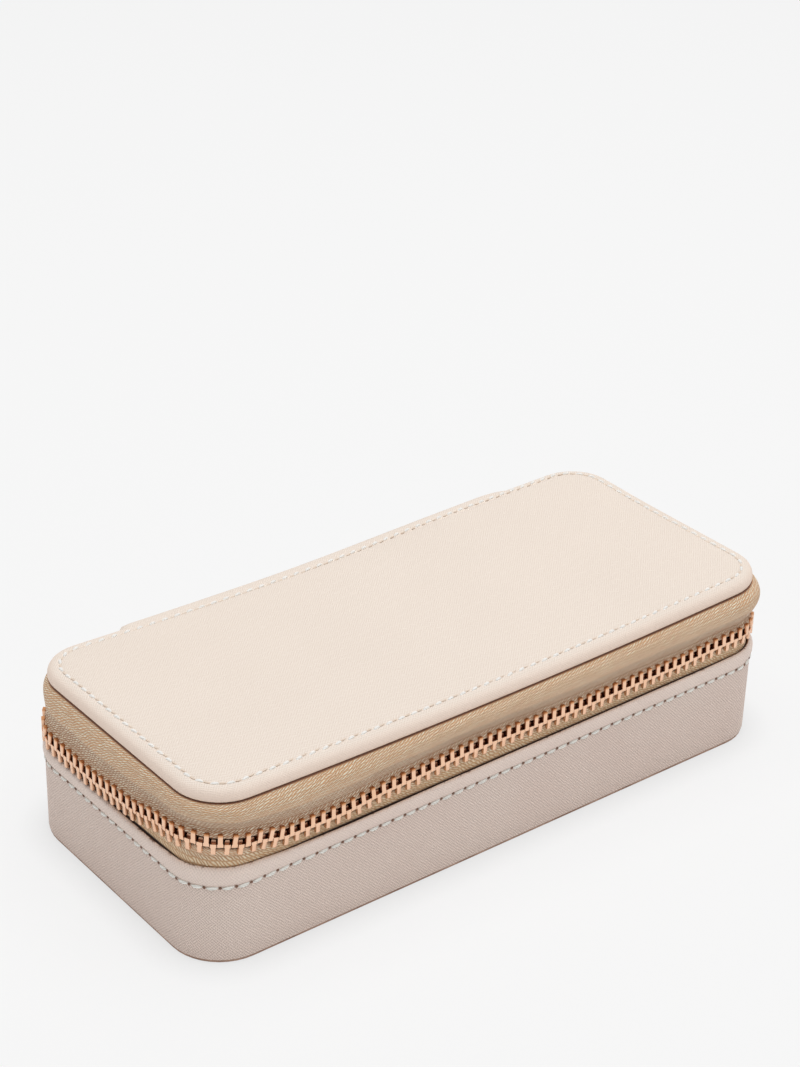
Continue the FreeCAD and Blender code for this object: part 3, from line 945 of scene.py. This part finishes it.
def makeUpperTape():
    look = upperTape

    def loops(ring, walk, x):
        share, inset = look["fall"][ring]
        bulge = easeAlong(look["bulge"], walk) * math.sin(math.pi * min(1, share))
        inset = inset * mm + (chainInset(walk) - look["chainAt"][0] * mm) * share - bulge * mm
        top = caseShape["lidUnder"] + lidLift(x)
        return inset, top + (chainHeight(walk) + look["overChain"] * mm - top) * share

    profile = [(inset, look["top"] - look["fallBy"] * share) for share, inset in look["fall"]]
    drawTape("upperTape", look, profile, loops, "upper_zip_tape", "lid")


def makeLowerTape():
    look = lowerTape
    footInset, footZ = look["foot"]

    def loops(ring, walk, x):
        share, lean = look["rise"][ring]
        recess = easeAlong(look["recess"], walk) * mm
        foot = footZ * mm
        crease = chainHeight(walk) - look["underChain"] * mm
        rim = caseShape["rim"] + rimLift(x, caseShape["rim"]) - look["underRim"] * mm
        bend = min(rim, crease)
        if share <= look["bendAt"]:
            z = foot + (bend - foot) * share / look["bendAt"]
        else:
            z = bend + max(0, crease - rim) * look["pastRim"]
        return recess + (chainInset(walk) - recess) * lean, z

    profile = [(footInset, footZ + look["riseBy"] * share) for share, lean in look["rise"]]
    drawTape("lowerTape", look, profile, loops, "lower_zip_tape", "base")


makeUpperTape()
makeLowerTape()
print("zip tapes drawn")

# Teeth: one clamped staple, copied along the chain

zipTooth = {"width": 1.5, "legWidth": 1.14, "tipWidth": 1.04, "depth": 2.8, "upperReach": 2.8, "lowerReach": 2.25,
            "drop": 0.3, "hook": 0.95, "slot": 0.96, "shoulderLow": -0.36, "shoulderHigh": 0.22, "neck": 0.6,
            "tip": 0.16, "tipIn": 0.05, "bevel": 0.1}   # mm
toothScales = {"tipDepth": 0.9, "head": (0.8, 0.36, 1), "hook": (0.7, 0.75, 1)}


def makeTooth(reach, capped):
    size = {key: value * mm for key, value in zipTooth.items()}
    low, high = size["shoulderLow"], size["shoulderHigh"]
    bpy.ops.mesh.primitive_cube_add(size=1, location=(0, 0, (low + high) / 2))
    tooth = named("toothPattern", (size["width"], size["depth"], high - low))
    editOn(tooth)
    for side in (-1, 1):   # cuts that part the two legs
        pickAll()
        bpy.ops.mesh.bisect(plane_co=(0, side * size["slot"] / 2, 0), plane_no=(0, 1, 0))
    for side in (-1, 1):   # legs: a neck, a bar and a pressed end
        pickFaces(tooth, lambda middle, normal: normal.z > 0.9 and middle.y * side > size["slot"] / 2)
        extrude(0, 0, size["neck"] - high)
        bpy.ops.transform.resize(value=(size["legWidth"] / size["width"], 1, 1))
        extrude(0, 0, size[reach] - size["tip"] - size["neck"])
        extrude(0, -side * size["tipIn"], size["tip"])
        bpy.ops.transform.resize(value=(size["tipWidth"] / size["legWidth"], toothScales["tipDepth"], 1))
    pickFaces(tooth, lambda middle, normal: normal.z < -0.9)   # head, set back from the faces
    extrude(0, 0, 0)
    bpy.ops.transform.resize(value=toothScales["head"], center_override=(0, 0, 0))
    extrude(0, 0, -size["hook"] - low)
    bpy.ops.transform.resize(value=toothScales["hook"], center_override=(0, 0, 0))
    faceOut()
    pickEdges(tooth, lambda a, b: min(a.y, b.y) > size["depth"] / 2 - 0.02 * mm and abs(a.z - b.z) > 0.5 * mm)
    bevelEdges(size["bevel"], 1)
    editOff()
    # the cap share marks where painted shade darkens the ends of the upper teeth
    cap = tooth.data.attributes.new("cap", "FLOAT", "POINT").data
    for vert in tooth.data.vertices:
        cap[vert.index].value = max(0, vert.co.z / size[reach]) * capped
    wear(tooth, roseGold)
    return tooth


def chainPlaces(offset, flip, stretch):
    places = []
    for i in range(zipChain["count"]):
        walk = evenWalk((offset + i * zipChain["pitch"]) * mm, zipChain["cornerInset"] * mm, zipChain["start"] * mm)
        spot, way = spotAt(walk, chainInset(walk))
        slope = (chainHeight(walk + mm) - chainHeight(walk - mm)) / (2 * mm)
        along = Vector((-way.y, way.x, slope)).normalized()
        out = Vector((way.x, way.y, 0))
        place = Matrix.Translation((spot.x, spot.y, chainHeight(walk) - zipTooth["drop"] * mm))
        place = place @ facing(along, out, along.cross(out) * -1) @ flip
        places.append(place @ Matrix.Scale(easeAlong(stretch, walk), 4, (0, 0, 1)))
    return places


def makeTeeth():
    upper, lower = Matrix.Identity(4), Matrix.Rotation(math.pi, 4, "Y")
    for name, node, body, reach, capped, offset, flip, stretch in (
            ("upperTeeth", "upper_zip_teeth", "lid", "upperReach", 1, 0, upper, "upperStretch"),
            ("lowerTeeth", "lower_zip_teeth", "base", "lowerReach", 0, zipChain["pitch"] / 2, lower, "lowerStretch")):
        row = copyAlong(makeTooth(reach, capped), name, chainPlaces(offset, flip, zipChain[stretch]))
        smooth(row, 50)
        assign(row, node, body)
        print("teeth set:", name, len(row.data.polygons), "faces")


makeTeeth()

# Bottom panel: its cut edge shows as a thin brown line

bottomCut = [(4.0, 0.0), (0.95, 0.0), (0.78, 0.1), (0.74, 0.3), (0.78, 0.55), (0.95, 0.65), (4.0, 0.65)]


def makeBottomPanel():
    piece = wallFrom("bottomPanel", bottomCut)
    closeEnds(piece)
    wear(piece, plain["cutEdgeBoard"])
    smooth(piece, 50)
    assign(piece, "bottom_panel", "base")


makeBottomPanel()
print("bottom panel drawn")

# Stitches: one thread with its needle hole, copied round the case

stitchLook = {
    "base": {"pitch": 3.65, "length": 3.0, "width": 0.86, "height": 0.8, "hole": 0.36, "holeLength": 0.4, "slant": 7,
             "z": 21.7, "inset": 0.55, "strays": [(0, 0), (496, 0)], "thread": baseThread, "dent": plain["needleHoleShade"]},
    "lid": {"pitch": 3.65, "length": 2.3, "width": 0.9, "height": 0.8, "hole": 0.26, "holeLength": 0.8, "slant": 12,
            "z": 46.36, "inset": 5.1, "thread": lidThread, "dent": plain["sunkStitchShade"],
            "strays": [(0, -0.3), (60, 0), (404, 0), (425, -0.7), (460, -0.9), (496, -0.3)]},
}
stitchWobble = {"share": 0.35, "step": 12.9898}
dentShape = {"z": 0.06 * mm, "depth": 0.1 * mm}


def makeStitch(look):
    length, width, height = (look[key] * mm for key in ("length", "width", "height"))
    bpy.ops.mesh.primitive_uv_sphere_add(segments=8, ring_count=6, radius=0.5, rotation=(0, math.pi / 2, 0))
    settle()
    stitch = named("stitchPattern", (length, width, height))
    raiseBy(stitch, lambda co: -0.5 * height * (2 * co.x / length) ** 4)   # both ends dive into the cloth
    wear(stitch, look["thread"])
    bpy.ops.mesh.primitive_circle_add(vertices=8, radius=1, fill_type="NGON",
                                      location=(look["pitch"] / 2 * mm, 0, dentShape["z"]))
    dent = named("dentPattern", (look["holeLength"] * mm, look["hole"] * mm, 1))
    editOn(dent)
    pickAll()
    extrude(0, 0, -dentShape["depth"])
    faceOut()
    editOff()
    # the dent wears painted shade
    wear(dent, look["dent"])
    return joinPieces("stitchPattern", [stitch, dent])


def sewRow(name, look, places, body):
    row = copyAlong(makeStitch(look), name, places)
    smooth(row, 60)
    assign(row, None, body)


def stitchRound(name, look, lift, flat, body):
    inset = look["inset"] * mm
    total = 4 * (coreX + coreY + (caseShape["corner"] - inset) * math.pi / 2)
    count = round(total / (look["pitch"] * mm))
    places = []
    for i in range(count):
        walk = evenWalk(i * total / count, inset)
        spot, way = spotAt(walk, inset + easeAlong(look["strays"], walk) * mm)
        along = Vector((-way.y, way.x, 0))
        face = Vector((0, 0, 1)) if flat else Vector((way.x, way.y, 0))
        wobble = look["slant"] * (1 + stitchWobble["share"] * math.sin(i * stitchWobble["step"]))
        place = Matrix.Translation((spot.x, spot.y, look["z"] * mm + lift(spot.x, spot.y)))
        place = place @ facing(along, face.cross(along), face)
        places.append(place @ Matrix.Rotation(math.radians(wobble), 4, "Z"))
    sewRow(name, look, places, body)


stitchRound("baseStitches", stitchLook["base"], lambda x, y: rimLift(x, stitchLook["base"]["z"] * mm), False, "base")
stitchRound("lidStitches", stitchLook["lid"], lambda x, y: lidLift(x) + puffLift(x, y), True, "lid")
print("stitches sewn")

# Hinge spine: the lid's leathercloth runs over the back and down to the base

hingeSpine = {
    "profile": [(35.6, 46.1), (36.1, 46.34), (37.0, 46.42), (37.9, 46.3), (38.7, 45.95), (39.35, 45.4), (39.85, 44.6),
                (40.2, 43.5), (40.5, 42.0), (40.8, 39), (40.95, 36), (41.0, 33), (41.0, 30.5), (40.95, 28.5),
                (40.8, 26.5), (40.7, 24), (40.65, 21), (40.5, 18), (40.4, 15), (40.35, 13.2)],
    "half": 64.0, "ends": (63.2, 64.0), "cuts": 60, "thickness": 0.7, "bevel": 0.25,
    "ease": (3.0, 12.0), "sink": (1.3, 1.0),   # its ends ease down onto the lid
    "lidFrom": 28, "lidOver": 12, "stitches": 33, "stitchAt": (40.42, 15.4),
}


def stripFrom(name, profile, half, cuts):   # a strip across the back, drawn along its (y, z) profile
    y, z = profile[0]
    sliver = 0.2 * mm   # the first edge comes from a thin plane
    bpy.ops.mesh.primitive_plane_add(size=1, location=(0, y * mm, z * mm))
    piece = named(name, (2 * half * mm, sliver, 1))
    editOn(piece)
    pickEdges(piece, lambda a, b: a.y < y * mm or b.y < y * mm)
    bpy.ops.mesh.delete(type="EDGE")
    pickAll()
    bpy.ops.mesh.subdivide(number_cuts=cuts)
    pickAll()
    bpy.ops.transform.translate(value=(0, -sliver / 2, 0))
    for nextY, nextZ in profile[1:]:
        extrude(0, (nextY - y) * mm, (nextZ - z) * mm)
        y, z = nextY, nextZ
    faceOut()
    editOff()
    runs = [0.0]
    for (y1, z1), (y2, z2) in zip(profile, profile[1:]):
        runs.append(runs[-1] + math.hypot(y2 - y1, z2 - z1))

    def runOf(co):   # the run at the nearest loop
        gaps = [math.hypot(co.y / mm - y, co.z / mm - z) for y, z in profile]
        return runs[gaps.index(min(gaps))]

    cloth = piece.data.uv_layers.new(name="cloth")
    for face in piece.data.polygons:
        for loop, v in zip(face.loop_indices, face.vertices):
            co = piece.data.vertices[v].co
            cloth.data[loop].uv = (co.x, (profile[0][0] + runOf(co)) * mm)
    return piece


def makeHingeSpine():
    look = hingeSpine
    piece = stripFrom("hingeSpine", look["profile"], look["half"], look["cuts"])

    def placed(co, ring):
        lidShare = clamp((co.z / mm - look["lidFrom"]) / look["lidOver"])
        side = 0 if co.x < 0 else 1
        x = co.x * look["ends"][side] / look["half"]
        end = look["ends"][side] - abs(x) / mm
        sink = look["sink"][side] * max(0, 1 - end / look["ease"][side]) ** 2 * lidShare * mm
        lift = (lidLift(x) + puffLift(x, co.y)) * lidShare + rimLift(x, co.z) * (1 - lidShare)
        return Vector((x, co.y - sink, co.z + lift - sink))

    moveVerts(piece, placed)
    if piece.data.polygons[0].normal.z < 0:
        piece.data.flip_normals()
    wear(piece, lidLeather)
    applyModifier(piece, "SOLIDIFY", thickness=look["thickness"] * mm, offset=-1)
    softenEdges(piece, look["bevel"], 2, 60)
    smooth(piece, 50)
    assign(piece, "hinge_spine", None)
    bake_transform(piece, "base", "lid", start=(0, 40.5 * mm, 28 * mm), end=(0, 40.5 * mm, 39 * mm))


def stitchSpine():   # a row along the lower edge, through to the base
    look = stitchLook["lid"]
    turn = facing((1, 0, 0), (0, 0, -1), (0, 1, 0)) @ Matrix.Rotation(math.radians(look["slant"]), 4, "Z")
    y, z = (value * mm for value in hingeSpine["stitchAt"])
    places = []
    for i in range(hingeSpine["stitches"]):
        x = (i - (hingeSpine["stitches"] - 1) / 2) * look["pitch"] * mm
        places.append(Matrix.Translation((x, y, z + rimLift(x, z))) @ turn)
    sewRow("spineStitches", look, places, "base")


makeHingeSpine()
stitchSpine()
print("hinge spine drawn")

# Slider, its bridge and pull, and the stops

sliderLook = {
    "tail": 10.8, "nose": 22.3, "tailHalf": 4.1, "noseHalf": 4.75, "height": 32.0, "round": 1.6, "soft": 0.22,
    "outer": (89.55, 90.65), "inner": (85.15, 86.25), "middle": 87.9, "panel": 0.8, "sink": 0.18,
    "lip": 0.9, "lipGap": 0.5, "lipOver": 0.1, "lipTail": 1.2, "lipNose": 1.6, "lipSoft": 0.2,
}
bridgeLook = {"face": 90.65, "middle": 16.55, "radius": 3.15, "stock": 0.55, "flatten": 0.89, "broaden": 1.8,
              "rooted": 0.25}
pullLook = {"inside": 91.15, "outside": 92.35, "tip": -9.45, "eye": 12.5, "bar": 16.55, "tipHalf": 3.15, "eyeHalf": 2.7,
            "armLow": 1.35, "armHigh": 2.7, "armOver": 0.6, "round": 2.2, "hole": 1.4, "holeFrom": 3.52, "drill": 6,
            "soft": 0.26, "armSoft": 0.3, "barRadius": 0.58, "barIn": 0.2}
stopLook = {"length": 2.6, "depth": 2.8, "low": 0.3, "high": 3.0, "firstBack": 2.1, "last": (87.9, 24.7), "soft": 0.45}


def block(name, low, high):   # a cube primitive at its size and place, from corners in mm
    bpy.ops.mesh.primitive_cube_add(size=1, location=[(a + b) / 2 * mm for a, b in zip(low, high)])
    return named(name, [(b - a) * mm for a, b in zip(low, high)])


def finishMetal(piece, node, body):
    wear(piece, roseGold)
    smooth(piece, 40)
    assign(piece, node, body)


def flareEnd(plate, share, z):   # scales the end that faces back
    pickFaces(plate, lambda middle, normal: normal.y > 0.9)
    bpy.ops.transform.resize(value=(1, 1, share), center_override=(0, 0, z * mm))


def sliderPlate(low, high):
    look = sliderLook
    z = look["height"]
    plate = block("plate", (low, look["tail"], z - look["tailHalf"]), (high, look["nose"], z + look["tailHalf"]))
    editOn(plate)
    flareEnd(plate, look["noseHalf"] / look["tailHalf"], z)
    pickEdges(plate, lambda a, b: abs(a.x - b.x) > 0.5 * mm)
    bevelEdges(look["round"] * mm, 5)
    pickFaces(plate, lambda middle, normal: normal.x > 0.9)
    bpy.ops.mesh.inset(thickness=look["panel"] * mm)
    bpy.ops.transform.translate(value=(-look["sink"] * mm, 0, 0))
    editOff()
    softenEdges(plate, look["soft"])
    return plate


def makeSlider():
    look = sliderLook
    parts = [sliderPlate(*look["outer"]), sliderPlate(*look["inner"])]
    z = look["height"]
    for side in (-1, 1):
        for low, high in ((look["middle"] + look["lipGap"], look["outer"][0] + look["lipOver"]),
                          (look["inner"][1] - look["lipOver"], look["middle"] - look["lipGap"])):
            edges = sorted((z + side * (look["tailHalf"] - look["lip"]), z + side * look["tailHalf"]))
            lip = block("lip", (low, look["tail"] + look["lipTail"], edges[0]),
                        (high, look["nose"] - look["lipNose"], edges[1]))
            editOn(lip)
            pickFaces(lip, lambda middle, normal: normal.y > 0.9)
            bpy.ops.transform.translate(value=(0, 0, side * (look["noseHalf"] - look["tailHalf"]) * mm))
            editOff()
            softenEdges(lip, look["lipSoft"])
            parts.append(lip)
    finishMetal(joinPieces("zipSlider", parts), "zip_slider", "slider")


def makeBridge():
    look = bridgeLook
    bpy.ops.mesh.primitive_torus_add(
        major_segments=40, minor_segments=12, major_radius=look["radius"] * mm, minor_radius=look["stock"] * mm,
        location=(look["face"] * mm, look["middle"] * mm, sliderLook["height"] * mm))
    bridge = named("sliderBridge", (look["flatten"], 1, look["broaden"]))
    editOn(bridge)
    pickFaces(bridge, lambda middle, normal: middle.x < (look["face"] - look["rooted"]) * mm)
    bpy.ops.mesh.delete(type="FACE")
    editOff()
    finishMetal(bridge, "slider_bridge", "slider")


def makePull():
    look = pullLook
    z = sliderLook["height"]
    plate = block("pullPlate", (look["inside"], look["tip"], z - look["tipHalf"]),
                  (look["outside"], look["eye"], z + look["tipHalf"]))
    editOn(plate)
    flareEnd(plate, look["eyeHalf"] / look["tipHalf"], z)
    pickEdges(plate, lambda a, b: abs(a.x - b.x) > 0.5 * mm and a.y < 0)
    bevelEdges(look["round"] * mm, 8)
    editOff()
    bpy.ops.mesh.primitive_cylinder_add(
        vertices=32, radius=look["hole"] * mm, depth=look["drill"] * mm, rotation=(0, math.pi / 2, 0),
        location=(look["inside"] * mm, (look["tip"] + look["holeFrom"]) * mm, z * mm))
    drill = bpy.context.object
    applyModifier(plate, "BOOLEAN", operation="DIFFERENCE", object=drill)
    dropPattern(drill)
    softenEdges(plate, look["soft"], 3)
    parts = [plate]
    for side in (-1, 1):
        low, high = sorted((z + side * look["armLow"], z + side * look["armHigh"]))
        arm = block("arm", (look["inside"], look["eye"] - look["armOver"], low),
                    (look["outside"], look["bar"] + look["armOver"], high))
        softenEdges(arm, look["armSoft"], 3)
        parts.append(arm)
    bpy.ops.mesh.primitive_cylinder_add(
        vertices=20, radius=look["barRadius"] * mm, depth=2 * (look["armHigh"] - look["barIn"]) * mm,
        location=((look["inside"] + look["outside"]) / 2 * mm, look["bar"] * mm, z * mm))
    parts.append(bpy.context.object)
    finishMetal(joinPieces("pullTab", parts), "pull_tab", "pull")


def makeStops():
    look = stopLook
    ends = (zipChain["start"] - look["firstBack"]) * mm, walkTo(*(value * mm for value in look["last"]))
    half, deep = look["length"] / 2, look["depth"] / 2
    for side, name, node, body in ((1, "upperStops", "upper_zip_stops", "lid"),
                                   (-1, "lowerStops", "lower_zip_stops", "base")):
        low, high = sorted((side * look["low"], side * look["high"]))
        clip = block("stopPattern", (-half, -deep, low), (half, deep, high))
        softenEdges(clip, look["soft"], 3)
        places = []
        for walk in ends:
            spot, way = spotAt(walk, chainInset(walk))
            turn = facing((-way.y, way.x, 0), (way.x, way.y, 0), (0, 0, 1))
            places.append(Matrix.Translation((spot.x, spot.y, chainHeight(walk))) @ turn)
        finishMetal(copyAlong(clip, name, places), node, body)


makeSlider()
makeBridge()
makePull()
makeStops()
print("slider, pull and stops set")


# Inside: short velvet over card, with padded rolls for rings

velvetLook = {
    "scale": 70.0, "pale": (200, 186, 174), "deep": (184, 169, 157), "brushed": (0.4, 0.6, 0, 1), "rough": 0.92,
    "pile": 3200.0, "pileShade": (150, 135, 124), "shadeIn": (0.3, 0.7, 0.45, 0), "relief": 0.12 * mm, "press": 0.8,
    "shine": 0.15, "sheen": (0.3, 0.7, 0.25, 0.5), "sheenRough": 0.4, "sheenTint": (244, 236, 228),
}


def makeVelvet():
    look = velvetLook
    finish, tree, skin, place, change = newFinish("greigeVelvet", look["scale"])
    pile = noise(tree, place, look["pile"], 2.0)
    tint = blendColour(tree, rangeNode(tree, change["Broad"], *look["brushed"]), look["pale"], look["deep"])
    feed(tree, skin, {
        "Base Color": blendColour(tree, rangeNode(tree, pile, *look["shadeIn"]), tint, look["pileShade"]),
        "Roughness": look["rough"], "Specular IOR Level": look["shine"],
        "Normal": bumpNode(tree, pile, look["relief"], look["press"]),
        "Sheen Weight": rangeNode(tree, change["Broad"], *look["sheen"]), "Sheen Roughness": look["sheenRough"],
        "Sheen Tint": colour(*look["sheenTint"])})
    return finish


velvet = makeVelvet()
puffing = {"scale": 20.0, "pressure": 4.0, "frames": 20, "quality": 6}


def finishVelvet(piece, node, body, angle):
    wear(piece, velvet)
    smooth(piece, angle)
    assign(piece, node, body)


def puff(piece, most, held=None):   # swells a padded piece by cloth under pressure, worked at a larger scale
    scale = puffing["scale"]
    for vert in piece.data.vertices:
        vert.co = vert.co * scale
    start = [vert.co.copy() for vert in piece.data.vertices]
    swell = piece.modifiers.new("Puff", "CLOTH")
    swell.settings.use_pressure = True
    swell.settings.uniform_pressure_force = puffing["pressure"]
    swell.settings.effector_weights.gravity = 0
    swell.settings.quality = puffing["quality"]
    if held:
        group = piece.vertex_groups.new(name="held")
        group.add([vert.index for vert in piece.data.vertices if held(vert.co / scale)], 1.0, "REPLACE")
        swell.settings.vertex_group_mass = "held"
    for number in range(1, puffing["frames"] + 1):
        bpy.context.scene.frame_set(number)
    pickOnly(piece)
    bpy.ops.object.modifier_apply(modifier=swell.name)
    for vert, first in zip(piece.data.vertices, start):
        move = vert.co - first
        if move.length > most * mm * scale:
            move = move.normalized() * most * mm * scale
        vert.co = (first + move) / scale
    bpy.context.scene.frame_set(1)
    piece.data.update()


def gridCut(piece, step, wanted):   # cuts a flat cap into squares, so it can bow
    editOn(piece)
    for way, reach in (((1, 0, 0), caseShape["length"] / 2), ((0, 1, 0), caseShape["depth"] / 2)):
        cuts = int(reach / (step * mm))
        for cut in range(-cuts, cuts + 1):
            pickFaces(piece, wanted)
            bpy.ops.mesh.bisect(plane_co=[cut * step * mm * share for share in way], plane_no=way)
    editOff()


trayLook = {
    "lining": [(5.55, 3.2), (5.5, 10), (5.5, 17), (5.5, 23.2), (5.4, 24.4), (5.05, 25.1), (4.6, 25.4), (4.2, 25.25),
               (4.05, 24.7), (4.05, 22)],
    "pad": [(5.7, 3.15), (5.65, 4.0), (5.85, 4.45), (6.5, 4.6), (8, 4.65), (10, 4.65)],
    "padGrid": 6, "padTop": 4.3, "press": 0.25, "pressOver": 3,
}
dividers = {
    "ringDivider": ("ring_divider", (-26.5, -34.3, 4.85), (-24.1, 34.3, 21.7)),
    "sideDivider": ("side_divider", (32.1, -34.3, 4.85), (34.5, 34.3, 21.7)),
    "middleDivider": ("middle_divider", (-23.95, -1.2, 4.85), (31.95, 1.2, 21.7)),
}
dividerLook = {"cuts": 16, "topFrom": 20, "round": 1.0, "wave": 0.12, "waveAlong": 7.3, "waveUp": 9}
rollLook = {"count": 5, "width": 11.24, "gap": 0.3, "left": -84.2, "half": 34.1, "low": 4.9, "high": 20.2,
            "shrink": 0.35, "flat": 0.15, "soft": 0.9, "voxel": 1.3, "swell": 0.45, "clear": 0.02, "inset": 5.85}


def makeTray():
    look = trayLook
    lining = wallFrom("wallLining", look["lining"])
    raiseBy(lining, lambda co: rimLift(co.x, co.z))
    finishVelvet(lining, "wall_lining", "base", 70)
    pad = wallFrom("floorPad", look["pad"], cap=True)
    gridCut(pad, look["padGrid"], lambda middle, normal: normal.z > 0.99)
    walls = [(dividers[key][1][0] + dividers[key][2][0]) / 2 for key in ("ringDivider", "sideDivider")]

    def pressed(co):   # pressed down a little along the dividers
        near = min([abs(co.x / mm - wall) for wall in walls] + [abs(co.y / mm)])
        return -look["press"] * mm * math.exp(-near / look["pressOver"]) * (co.z > look["padTop"] * mm)

    raiseBy(pad, pressed)
    finishVelvet(pad, "floor_pad", "base", 70)


def makeDivider(name, node, low, high):
    look = dividerLook
    board = block(name, low, high)
    long = 1 if high[1] - low[1] > high[0] - low[0] else 0
    across = 1 - long
    top = look["topFrom"] * mm
    editOn(board)
    pickEdges(board, lambda a, b: abs(a[long] - b[long]) > 10 * mm)
    bpy.ops.mesh.subdivide(number_cuts=look["cuts"])
    pickEdges(board, lambda a, b: a.z > top and b.z > top and abs(a[long] - b[long]) > 1 * mm)
    bevelEdges(look["round"] * mm, 5)
    editOff()

    def soft(co, ring):
        wave = math.sin(co[long] / (look["waveAlong"] * mm)) * math.sin(co.z / (look["waveUp"] * mm))
        co[across] = co[across] + look["wave"] * mm * wave
        return co

    moveVerts(board, soft)
    finishVelvet(board, node, "base", 60)


def makeRoll(number):
    look = rollLook
    node = "ring_roll_%d" % number
    left = look["left"] + (number - 1) * (look["width"] + look["gap"])
    small = look["shrink"]
    roll = block("ringRoll%d" % number, (left + small, -look["half"] + small, look["low"]),
                 (left + look["width"] - small, look["half"] - small, look["high"] - small))
    editOn(roll)
    pickEdges(roll, lambda a, b: a.z > 10 * mm and b.z > 10 * mm and abs(a.y - b.y) > 10 * mm)
    bevelEdges((look["width"] / 2 - small - look["flat"]) * mm, 8)
    editOff()
    softenEdges(roll, look["soft"], 2, 60)
    roll.data.remesh_voxel_size = look["voxel"] * mm
    bpy.ops.object.voxel_remesh()
    puff(roll, look["swell"])
    low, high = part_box(node)
    clear, inset = look["clear"] * mm, look["inset"] * mm

    def fitted(co, ring):   # inside the solid's box and the lining
        co = Vector([max(a + clear, min(b - clear, c)) for a, b, c in zip(low, high, co)])
        return setIn(co, inset, co.z) if fromCore(co.x, co.y)[2] > caseShape["corner"] - inset else co

    moveVerts(roll, fitted)
    applyModifier(roll, "SUBSURF", levels=1, render_levels=1)
    finishVelvet(roll, node, "base", 80)


lidInside = {
    "lining": [(6.5, 42.45), (4.7, 42.4), (4.2, 42.1), (4.0, 41.7), (4.2, 41.25), (4.8, 41.0), (6, 40.85), (8, 40.75),
               (11, 40.7)],
    "grid": 6, "capTo": 40.8, "swell": 0.5, "heldFrom": 40.95,
    "strip": [(36.0, 40.5), (36.25, 39.4), (36.35, 37.5), (36.3, 35), (36.2, 32), (36.15, 29.5), (36.1, 27.5),
              (36.0, 25.75)],
    "stripHalf": 56.0, "stripCuts": 28, "stripThickness": 0.6, "lidFrom": 27, "lidOver": 12,
}


def makeLidInside():
    look = lidInside
    lining = wallFrom("lidLining", look["lining"], cap=True)
    gridCut(lining, look["grid"], lambda middle, normal: abs(normal.z) > 0.99 and middle.z < look["capTo"] * mm)
    puff(lining, look["swell"], held=lambda co: co.z > look["heldFrom"] * mm)
    raiseBy(lining, lambda co: lidLift(co.x))
    finishVelvet(lining, "lid_lining", "lid", 70)
    strip = stripFrom("hingeLining", look["strip"], look["stripHalf"], look["stripCuts"])

    def lift(co):
        lidShare = clamp((co.z / mm - look["lidFrom"]) / look["lidOver"])
        return lidLift(co.x) * lidShare + rimLift(co.x, co.z) * (1 - lidShare)

    raiseBy(strip, lift)
    applyModifier(strip, "SOLIDIFY", thickness=look["stripThickness"] * mm, offset=0)
    finishVelvet(strip, "hinge_lining", None, 60)
    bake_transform(strip, "base", "lid", start=(0, 36 * mm, 27 * mm), end=(0, 36 * mm, 39 * mm))


makeTray()
for name, (node, low, high) in dividers.items():
    makeDivider(name, node, low, high)
for number in range(1, rollLook["count"] + 1):
    makeRoll(number)
makeLidInside()
print("inside lined")

# Card and foam inside the walls

cardLook = {
    "lidBoard": ("lid_board", "board", "greyCard",
                 [(13.5, 43.2), (3.4, 43.2), (3.3, 43.3), (3.3, 44.4), (3.4, 44.5), (13.5, 44.5)]),
    "lidFoam": ("lid_foam", "padding", "openFoam",
                [(13.5, 44.7), (3.9, 44.7), (3.7, 44.8), (3.7, 45.25), (3.9, 45.35), (13.5, 45.35)]),
}
for name in ("base_wall_board", "floor_board"):
    wear(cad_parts[name], plain["greyCard"])
for name, (node, slot, finish, profile) in cardLook.items():
    sheet = wallFrom(name, profile)
    closeEnds(sheet)
    cutAcross(sheet)
    raiseBy(sheet, lambda co: lidLift(co.x))
    wear(sheet, plain[finish])
    smooth(sheet, 40)
    assign(sheet, node, "lid")
print("card and foam set")
